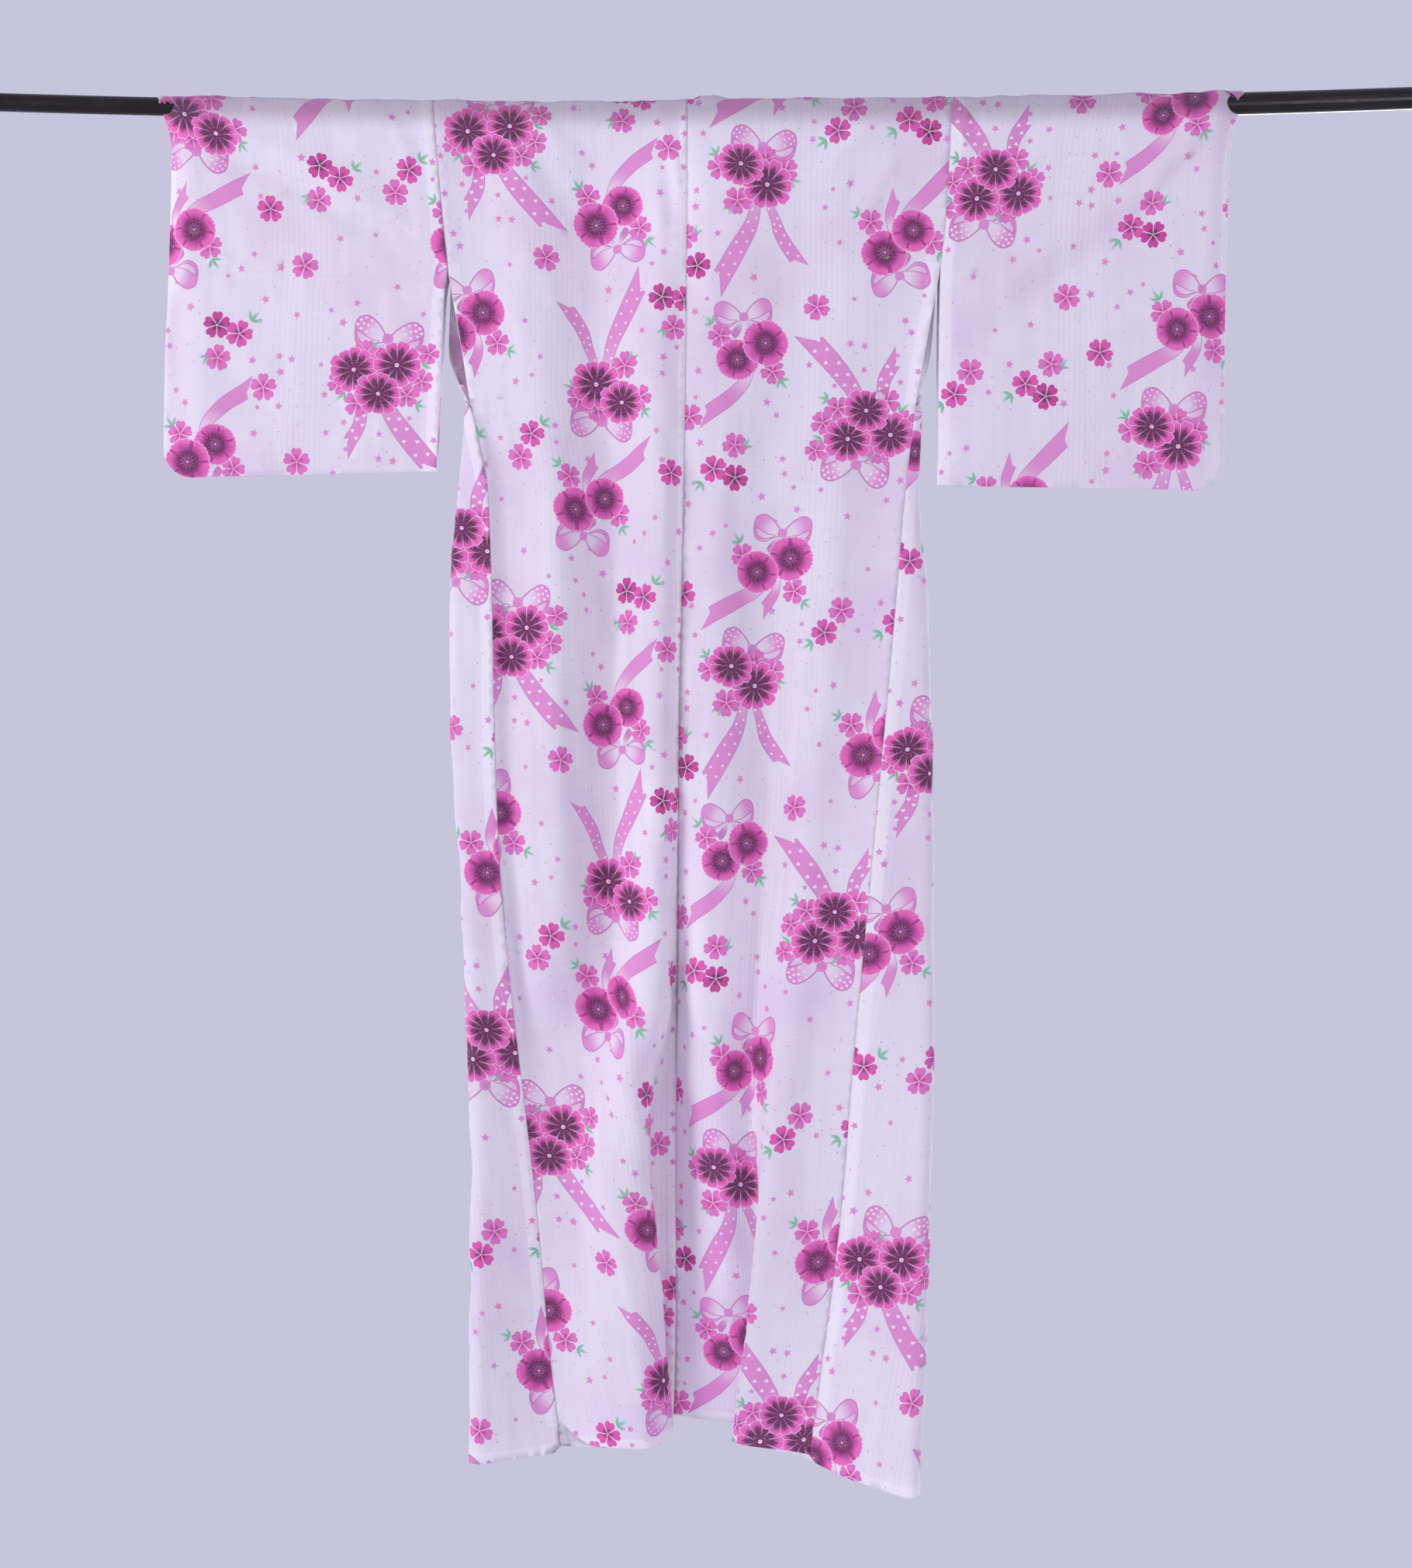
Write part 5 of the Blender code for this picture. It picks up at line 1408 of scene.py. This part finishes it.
# Threads both ways, ribs and fuzz, as a fine relief
threads = cotton.math("ADD", cotton.wave(flat, 420.0, "X", 1.0), cotton.wave(flat, 380.0, "Y", 1.0))
height = cotton.math("ADD", cotton.times(threads, 0.25), cotton.times(ribs, 0.9))
cotton.bump(cotton.math("ADD", height, cotton.noise(flat, 900.0, 2.0)), 0.35, 0.0003)
cotton.set(Roughness=0.88, Specular_IOR_Level=0.25, Sheen_Weight=0.04, Sheen_Roughness=0.5)
cotton.set(Subsurface_Weight=0.45, Subsurface_Radius=(1.0, 1.0, 1.0), Subsurface_Scale=0.004)
print("the cotton has", len(cotton.tree.nodes), "nodes")

# %% [markdown]
# ## Cutting the pieces
# A yukata wastes no cloth: its pieces are plain lengths, with a scooped neck and slightly shaped seams.
# Each outline below follows the sewing sizes, and the bands inside it mark where the cloth is turned
# under twice for a hem. A band reaches a little past the cut edge, so that no sliver is left beside it.

# %% Lines on the pattern
HEM_TURN, SIDE_TURN, CUFF_TURN, CENTRE_TURN = 13.0, 15.0, 8.0, 10.0
PAST = 9.0  # how far a band reaches past the cut edge
ROW = 30.0  # the height between two points of an upright edge


def front_uv(side, s, drop):
    """The pattern point of a place on the front, s from the side seam."""
    return halves[side].hip - s, -ARC - drop


def front_hem(side, s, up=0.0):
    """The pattern point on the front's hem, or this far above it."""
    return front_uv(side, s, hem_drop(side, halves[side].width(HEM) + max(s, 0)) - up)


def band(line, turn, first, last, count):
    """A turned hem, from just past its cut edge inwards. The line gives a point for a place and a depth."""
    places = np.linspace(first, last, count)
    return [line(p, -PAST) for p in places] + [line(p, turn) for p in places[::-1]]


print("a band reaches", PAST, "mm past its cut edge")

# %% The two body lengths
def neck_arch(side):
    """The scooped neck, from the front over the rod to the centre of the back."""
    half, made = halves[side], []
    for angle in np.linspace(0, math.pi / 2, 26):
        x, z = NECK_HALF * math.cos(angle), -NECK_FOOT + (NECK_FOOT + NECK_TOP) * math.sin(angle)
        if z <= 0:
            made.append((x, -ARC + z))
        else:
            rise = (z - rod_height(side * x)) / float(fold_radius(side * x))
            lift = math.asin(min(1.0, max(0.0, rise)))
            made.append((x * half.width(0) / float(half.at("seam_x", 0.0)), -ARC * (1 - lift / math.pi)))
    return made


def body_outline(side):
    half, down = halves[side], np.arange(0.0, HEM, ROW)
    back_hem = [(u, hem_drop(side, u)) for u in np.linspace(0, half.width(HEM), 30)]
    back_edge = [(half.width(d), d) for d in down[::-1]]
    front_edge = [front_uv(side, half.start(d), d) for d in down[1:]]
    hem = [front_hem(side, s) for s in np.linspace(0, FRONT, 26)]
    inner_edge = [front_uv(side, min(half.edge(d), FRONT), d) for d in down[::-1] if d > NECK_FOOT]
    centre = [(0.0, v) for v in np.arange(0.0, hem_drop(side, 0.0) - 10.0, ROW)]
    return back_hem + back_edge + front_edge + hem + inner_edge + neck_arch(side) + centre


def body_bands(side):
    """The hems along the foot and down both edges of the side opening, and the centre seam's allowance."""
    half = halves[side]
    bands = [
        band(lambda u, i: (u, hem_drop(side, max(u, 0)) - i), HEM_TURN, -5, half.width(HEM) + 5, 30),
        band(lambda s, i: front_hem(side, s, i), HEM_TURN, -5, FRONT + 5, 26),
        band(lambda d, i: (half.width(d) - i, d), SIDE_TURN, ARMHOLE - 4, OPENING_FOOT + 14, 12),
        band(lambda d, i: front_uv(side, half.start(d) + i, d), SIDE_TURN, ARMHOLE - 4, HEM - 30, 60),
    ]
    if side == LEFT:
        low = hem_drop(side, 0.0) - HEM_TURN - 3
        bands.append([(-5, 4), (CENTRE_TURN, 4), (CENTRE_TURN, low), (-5, low)])
    return bands


print("the left body length has", len(body_outline(LEFT)), "points round it")

# %% The overlap panels
def overlap_outline(side):
    half = halves[side]
    drops = [TIP_DROP] + list(np.arange(TIP_DROP + 10.0, HEM, ROW))
    seam = [front_uv(side, FRONT, d) for d in drops]
    hem = [front_hem(side, s) for s in np.linspace(FRONT, half.edge(HEM), 18)]
    edge = [front_uv(side, half.edge(d), d) for d in drops[:0:-1]]
    return seam + hem + edge


def overlap_bands(side):
    half = halves[side]
    return [
        band(lambda s, i: front_hem(side, s, i), HEM_TURN, FRONT - 5, half.edge(HEM) + 5, 18),
        band(lambda d, i: front_uv(side, half.edge(d) - i, d), SIDE_TURN, COLLAR_END, HEM + 20, 24),
    ]


print("at the hem an overlap is", round(float(halves[LEFT].edge(HEM)) - FRONT), "mm wide")

# %% The sleeves and the collar band
def sleeve_outline(side):
    wide, (foot_in, foot_out) = sleeve_width(side), SLEEVE_FOOT[side]
    back = [(0.0, 0.0)] + [
        (u, foot_in + (foot_out - foot_in) * u / wide) for u in np.linspace(0, wide - SLEEVE_CORNER, 12)[:-1]]
    for turn in np.linspace(0, math.pi / 2, 8)[::-1]:
        in_u, in_v = SLEEVE_CORNER * (1 - math.cos(turn)), SLEEVE_CORNER * (1 - math.sin(turn))
        back.append((wide - in_u, foot_out - in_v))
    back.append((wide, 0.0))
    return back + [(u, -ARC - v) for u, v in back[::-1]]


def sleeve_bands(side):
    """The allowance of the armhole's seam, and the cuff's hem."""
    wide, foot, far = sleeve_width(side), min(SLEEVE_FOOT[side]) - 1.0, -ARC - SLEEVE_CUFF
    return [
        [(-5, -ARC - foot), (SIDE_TURN, -ARC - foot), (SIDE_TURN, foot), (-5, foot)],
        [(wide - CUFF_TURN, SLEEVE_CUFF), (wide + 5, SLEEVE_CUFF), (wide + 5, far), (wide - CUFF_TURN, far)],
    ]


def collar_outline():
    u = np.linspace(0, BAND_ALONG[-1], int(BAND_ALONG[-1] / 8))
    return [(a, 0.0) for a in u] + [(a, COLLAR_FOOT) for a in u[::-1]]


print("the sleeves are", round(sleeve_width(LEFT)), "and", round(sleeve_width(RIGHT)), "mm wide")

# %% The creases of each piece
# Rows of u0, v0, u1, v1, width and depth. A depth above 0 stands out, and the front has v below -ARC.
LEFT_HIP = halves[LEFT].hip
BODY_CREASES = {
    LEFT: (
        (29, 4, 17, 246, 6, 2.9), (44, 10, 28, 230, 10, -2.9), (260, 345, 229, 517, 3, 2.0),
        (2, 768, 30, 765, 3, 1.4), (258, 190, 176, 262, 8, -3.2), (262, 206, 205, 330, 12, 3.6),
        (236, 30, 150, 128, 14, -3.2), (205, 20, 110, 96, 11, 2.9), (150, 330, 64, 520, 20, -2.9),
        (196, 560, 120, 820, 22, 3.2), (60, 610, 98, 900, 16, -2.7), (170, 1010, 110, 1290, 18, 2.9),
        (LEFT_HIP - 4, -ARC - 1278, LEFT_HIP - 88, -ARC - 1272, 3, 1.7),
        (60, -ARC - 1180, 150, -ARC - 1420, 18, 3.2), (235, -ARC - 170, 160, -ARC - 300, 12, -3.1),
        (245, -ARC - 60, 190, -ARC - 180, 13, 3.1), (210, -ARC - 520, 160, -ARC - 820, 20, -3.1),
        (120, -ARC - 900, 60, -ARC - 1150, 18, 3.1), (238, -ARC - 205, 170, -ARC - 214, 4, 2.2),
    ),
    RIGHT: (
        (253, 26, 193, 158, 8, -3.6), (276, 46, 220, 168, 8, 3.5), (234, 18, 156, 112, 9, 2.9),
        (300, 192, 226, 186, 4, 2.7), (308, 202, 214, 256, 7, -3.6), (304, 214, 250, 330, 11, -3.2),
        (300, 180, 240, 108, 10, 2.7), (150, 40, 78, 190, 16, -2.9), (34, 60, 48, 300, 9, 2.6),
        (210, 330, 120, 520, 20, 3.5), (70, 420, 110, 690, 18, -2.9), (180, 700, 130, 980, 20, -3.1),
        (84, 980, 128, 1240, 18, 3.1), (40, 1180, 60, 1460, 13, -2.6), (2, -17, 56, -13, 10, 5.0),
        (270, -ARC - 60, 190, -ARC - 200, 14, -3.2), (262, -ARC - 210, 180, -ARC - 300, 10, 3.2),
        (266, -ARC - 200, 200, -ARC - 196, 4, 2.2), (230, -ARC - 480, 150, -ARC - 760, 20, 3.2),
        (160, -ARC - 900, 90, -ARC - 1180, 18, -3.1), (80, -ARC - 1250, 140, -ARC - 1500, 16, 2.9),
    ),
}
SLEEVE_CREASES = {
    LEFT: (
        (338, 10, 12, 188, 20, 6.5), (344, 46, 10, 218, 15, -5.6), (137, 139, 8, 186, 9, -4.8),
        (333, 201, 172, 209, 3, 2.6), (320, 216, 190, 221, 4, -2.2), (240, 250, 40, 300, 18, 3.9),
        (60, 6, 36, 90, 8, 3.1), (300, 300, 200, 440, 18, -3.9), (120, 330, 60, 450, 14, 3.1),
        (330, -ARC - 20, 20, -ARC - 196, 20, 5.6), (338, -ARC - 64, 24, -ARC - 236, 14, -4.8),
        (150, -ARC - 260, 60, -ARC - 420, 18, 3.9), (310, -ARC - 208, 160, -ARC - 214, 3, 2.3),
    ),
    RIGHT: (
        (358, 12, 238, 132, 13, 6.0), (238, 132, 46, 254, 14, 5.3), (362, 44, 220, 176, 12, -5.3),
        (230, 172, 60, 290, 12, -4.3), (8, 4, 24, 66, 6, 3.3), (28, 2, 40, 54, 5, -2.8),
        (120, 8, 70, 110, 10, -3.1), (330, 250, 120, 330, 16, 3.9), (300, 330, 180, 450, 18, -3.4),
        (6, 206, 110, 214, 5, 2.6), (350, -ARC - 16, 40, -ARC - 210, 18, 5.6),
        (354, -ARC - 60, 50, -ARC - 250, 14, -4.8), (140, -ARC - 280, 50, -ARC - 430, 18, 3.7),
    ),
}

print("the left body length has", len(BODY_CREASES[LEFT]), "creases, its sleeve", len(SLEEVE_CREASES[LEFT]))

# %% Cutting out and hanging the pieces
TURNS = {LEFT: (370.0, 60.0, True), RIGHT: (352.0, 500.0, False)}
OVER_ROD = {"cuts": (-ARC,), "dense": ((-ARC - 6, 6, 3.0),), "waves": 0.9}
SEAM_WIDENS = 10.0


def cut_out(name, outline, bands, place, outward, shift, flat, held_by, **more):
    """One piece of cloth. The shift says where on the roll it is cut: across, down and which way up."""
    panel = Panel(name + "_cloth", outline, bands, place, outward, Printing(*shift), **more)
    panels[name] = panel
    obj = build_panel(panel, cotton.material)
    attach(obj, "root")
    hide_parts(name)


def from_sleeve_seam(side, u, v):
    """How far a sleeve's pattern point is from its outer seam or its foot."""
    above_foot = min(SLEEVE_FOOT[side]) - np.maximum(v, -v - ARC)
    return np.minimum(sleeve_width(side) - u, above_foot) + SEAM_WIDENS


panels = {}
for side, word in SIDE_WORDS:
    across, down, upright = TURNS[side]
    place = lambda u, v, s=side: body_point(s, u, v)
    cut_out("body_" + word, body_outline(side), body_bands(side), place, -side, (across, down, upright),
            (0.37, 3.46), ["rod_thin", "rod_thick"], creases=BODY_CREASES[side], seed=3 + side, **OVER_ROD,
            from_seam=lambda u, v, s=side: halves[s].hip - u)
    cut_out("overlap_" + word, overlap_outline(side), overlap_bands(side), place, -side,
            (across + 90.0, down + 200.0, upright), (0.18, 1.5), ["body_" + word + "_cloth"],
            cuts=(-1000.0,), seed=13 + side)
for side, word in SIDE_WORDS:
    across, down, upright = TURNS[side]
    cut_out("sleeve_" + word, sleeve_outline(side), sleeve_bands(side),
            lambda u, v, s=side: sleeve_point(s, u, v), -side, (across + 200.0, down + 330.0, upright),
            (0.37, 1.05), ["rod_thin" if side == LEFT else "rod_thick"], creases=SLEEVE_CREASES[side],
            seed=23 + side, **OVER_ROD, from_seam=lambda u, v, s=side: from_sleeve_seam(s, u, v))
cut_out("collar", collar_outline(), [], collar_point, 1, (300.0, 40.0, True), (0.15, 1.75),
        ["body_left_cloth", "body_right_cloth"], cuts=(420.0, 840.0, 1260.0), cut_along_u=True,
        shell=2.4, cell=(8.0, 8.0), seed=31, waves=0.3)

# %% [markdown]
# ## Hand stitches and bar tacks
# Hems of a yukata are sewn by hand with a thread that shows only as a short stitch every centimetre or
# two. One stitch is a small stretched ball. Copies of it are laid on the cloth along the hems, and every
# row becomes one mesh, which stays light. At the foot of each armhole a few stitches side by side make a
# bar tack, which takes the pull of the sleeve.

# %% One stitch and its thread
bpy.ops.object.select_all(action="DESELECT")
bpy.ops.mesh.primitive_uv_sphere_add(segments=6, ring_count=4, radius=0.5, rotation=(0.0, math.pi / 2, 0.0))
bpy.ops.object.transform_apply(location=False, rotation=True, scale=False)
ball = bpy.context.active_object
STITCH = np.array([v.co[:] for v in ball.data.vertices])
STITCH_FACES = [tuple(f.vertices) for f in ball.data.polygons]
bpy.ops.object.delete()

thread = Finish("white_thread")
place = thread.node("ShaderNodeTexCoord").outputs["Object"]
thread.put(thread.shader.inputs["Base Color"],
           thread.mixed(thread.noise(place, 900.0, 2.0), rgb(232, 228, 236), rgb(250, 248, 250)))
thread.bump(thread.wave(place, 1400.0, "DIAGONAL"), 0.3, 0.0001)
thread.set(Roughness=0.7)
# The kinds of stitch: spacing, length and thickness, mm
CUFF, HEM_STITCH, EDGE = (16.0, 3.2, 0.7), (13.0, 1.4, 0.6), (15.0, 1.4, 0.6)
ARM_TACK, SEAM_TACK, TACK_STEP = (9.0, 6.5, 0.7), (9.0, 5.0, 0.7), 1.6
INTO_TURN = 1.5  # how far outside the inner edge of a hem its stitches are

print("a stitch has", len(STITCH_FACES), "faces")

# %% A row of stitches
def stitch_row(name, panel, rows):
    """Stitches on a panel's outer face, from rows of a start, an end and a kind."""
    at, along, sizes = [], [], []
    for start, end, (spacing, long, thick) in rows:
        run = np.array(end) - start
        reach = math.hypot(*run)
        count = max(1, int(reach / spacing))
        at.append(start + run * ((np.arange(count) + 0.5) / count)[:, None])
        along.append(np.tile(run / reach, (count, 1)))
        sizes.append(np.tile([long, thick, thick], (count, 1)))
    at, along, sizes = np.concatenate(at), np.concatenate(along), np.concatenate(sizes)
    here, normal = panel.hung(at)
    run = panel.place(at[:, 0] + along[:, 0], at[:, 1] + along[:, 1]) - here
    run /= np.linalg.norm(run, axis=1)[:, None]
    axes = np.stack([run, np.cross(normal, run), normal], axis=1)
    centre = here + normal * (panel.raised(at) + panel.shell / 2 + TURNED_EXTRA + 0.05)[:, None]
    points = centre[:, None] + (STITCH * sizes[:, None]) @ axes
    faces = [tuple(k + i * len(STITCH) for k in f) for i in range(len(at)) for f in STITCH_FACES]
    mesh = bpy.data.meshes.new(name)
    mesh.from_pydata((points.reshape(-1, 3) * MM).tolist(), [], faces)
    mesh.materials.append(thread.material)
    mesh.shade_smooth()
    obj = bpy.data.objects.new(name, mesh)
    bpy.context.scene.collection.objects.link(obj)
    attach(obj, "root")
    print(name, "has", len(at), "stitches")


print("a hem's stitches are", HEM_STITCH[0], "mm apart")

# %% Rows on the cuffs, the hems and the armholes
def both_layers(u0, drop0, u1, drop1, kind):
    """The same row on a sleeve's back and on its front."""
    return [((u0, drop0), (u1, drop1), kind), ((u0, -ARC - drop0), (u1, -ARC - drop1), kind)]


for side, word in SIDE_WORDS:
    half, cuff, seam = halves[side], sleeve_width(side) - 5, SIDE_TURN - INTO_TURN
    rows = both_layers(cuff, 40, cuff, 440, CUFF) + both_layers(seam, ARMHOLE + 12, seam, 440.0, EDGE)
    for k in range(4):
        rows += both_layers(0.5, ARMHOLE - 4 + k * TACK_STEP, 7.0, ARMHOLE - 4 + k * TACK_STEP, ARM_TACK)
    stitch_row("stitches_sleeve_" + word, panels["sleeve_" + word], rows)

    up = HEM_TURN - INTO_TURN
    hems = [((u, hem_drop(side, u) - up), (u + 40.0, hem_drop(side, u + 40.0) - up), HEM_STITCH)
            for u in np.arange(20.0, half.width(HEM) - 20.0, 40.0)]
    hems += [(front_hem(side, s, up), front_hem(side, s + 40.0, up), HEM_STITCH)
             for s in np.arange(20.0, FRONT - 60.0, 40.0)]
    top, foot = ARMHOLE + 10, OPENING_FOOT - 4
    hems.append(((half.width(top) - seam, top), (half.width(foot) - seam, foot), EDGE))
    for d in OPENING_FOOT + TACK_STEP * np.arange(3):
        hems.append(((half.width(d) - 6.5, d), (half.width(d) - 1.0, d), SEAM_TACK))
    stitch_row("stitches_body_" + word, panels["body_" + word], hems)

# %% [markdown]
# ## The rod
# The rod is two thin steel tubes, one inside the other, dipped in glossy black paint. Paint on a cheap
# rod is never quite smooth: it has a faint orange-peel skin and a few rubbed marks.

# %% Glossy paint on the tubes
paint = Finish("black_paint")
place = paint.node("ShaderNodeTexCoord").outputs["Object"]
rubbed = paint.between(paint.noise(paint.scaled(place, (4.0, 30.0, 30.0)), 1.0, 4.0, 0.6), 0.52, 0.8)
paint.put(paint.shader.inputs["Base Color"], paint.mixed(rubbed, rgb(20, 15, 17), rgb(40, 33, 36)))
gloss = paint.between(paint.noise(place, 60.0, 3.0), 0.3, 0.8, 0.16, 0.34)
paint.put(paint.shader.inputs["Roughness"], gloss)
paint.bump(paint.noise(place, 700.0, 2.0), 0.12, 0.0002)
paint.set(Specular_IOR_Level=0.3)
for name in ("rod_thin", "rod_thick"):
    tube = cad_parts[name]
    tube.data.materials.clear()
    tube.data.materials.append(paint.material)
print("painted the two tubes")

# %% [markdown]
# ## Light, floor and camera
# Cloth shows its folds under broad soft light from one side with a weaker fill from the other. The camera
# stands level with the middle of the robe, two metres behind it.

# %% Floor
FLOOR_PLACE, FLOOR_WIDE, FLOOR_DEEP = (0.02, 0.0, -2.1), 2.6, 1.05
bpy.ops.object.select_all(action="DESELECT")
bpy.ops.mesh.primitive_plane_add(size=1.0, location=FLOOR_PLACE)
floor = bpy.context.active_object
floor.name = "floor"
floor.scale = (FLOOR_WIDE, FLOOR_DEEP, 1.0)
bpy.ops.object.transform_apply(location=False, rotation=False, scale=True)
plain = Finish("pale_floor")
grain = plain.noise(plain.node("ShaderNodeTexCoord").outputs["Object"], 30.0, 4.0)
plain.set(Base_Color=plain.mixed(grain, rgb(206, 206, 224), rgb(212, 212, 230)), Roughness=0.9)
floor.data.materials.append(plain.material)
print("the floor is", FLOOR_PLACE[2], "m from the rod")

# %% Soft light
LIT = np.array([0.0, 0.0, -0.8])  # what every lamp points at
LIGHTS = (  # name, place, size and power
    ("key", (-3.4, -2.2, -0.5), 1.6, 94.0),
    ("fill", (2.9, -3.0, -0.9), 2.2, 46.0),
    ("top", (0.2, -0.9, 1.7), 1.2, 2.0),
    ("front", (2.4, 3.2, -0.3), 2.0, 80.0),
)
for name, place, size, power in LIGHTS:
    bpy.ops.object.light_add(type="AREA", location=place)
    lamp = bpy.context.active_object
    lamp.name, lamp.data.size, lamp.data.energy = name, size, power
    aim = LIT - place
    tilt, turn = math.atan2(aim[2], math.hypot(aim[0], aim[1])), math.atan2(aim[1], aim[0])
    lamp.rotation_euler = (math.pi / 2 + tilt, 0.0, turn - math.pi / 2)
print("placed", len(LIGHTS), "soft lights")

world = bpy.data.worlds.new("studio")
world.use_nodes = True
world.node_tree.nodes["Background"].inputs["Color"].default_value = rgb(198, 197, 219)
world.node_tree.nodes["Background"].inputs["Strength"].default_value = 1.0
bpy.context.scene.world = world
bpy.context.scene.view_settings.view_transform = "Standard"

# %% Camera
WIDE_AT_ROBE, DISTANCE = 1.784, 2.1
EYE_X, EYE_Z = 0.0235, -0.849
bpy.ops.object.camera_add(location=(EYE_X, -DISTANCE, EYE_Z), rotation=(math.pi / 2, 0.0, 0.0))
camera = bpy.context.active_object
camera.data.sensor_fit = "HORIZONTAL"
camera.data.lens = camera.data.sensor_width * DISTANCE / WIDE_AT_ROBE
bpy.context.scene.camera = camera
print("the lens is", round(camera.data.lens, 1), "mm")
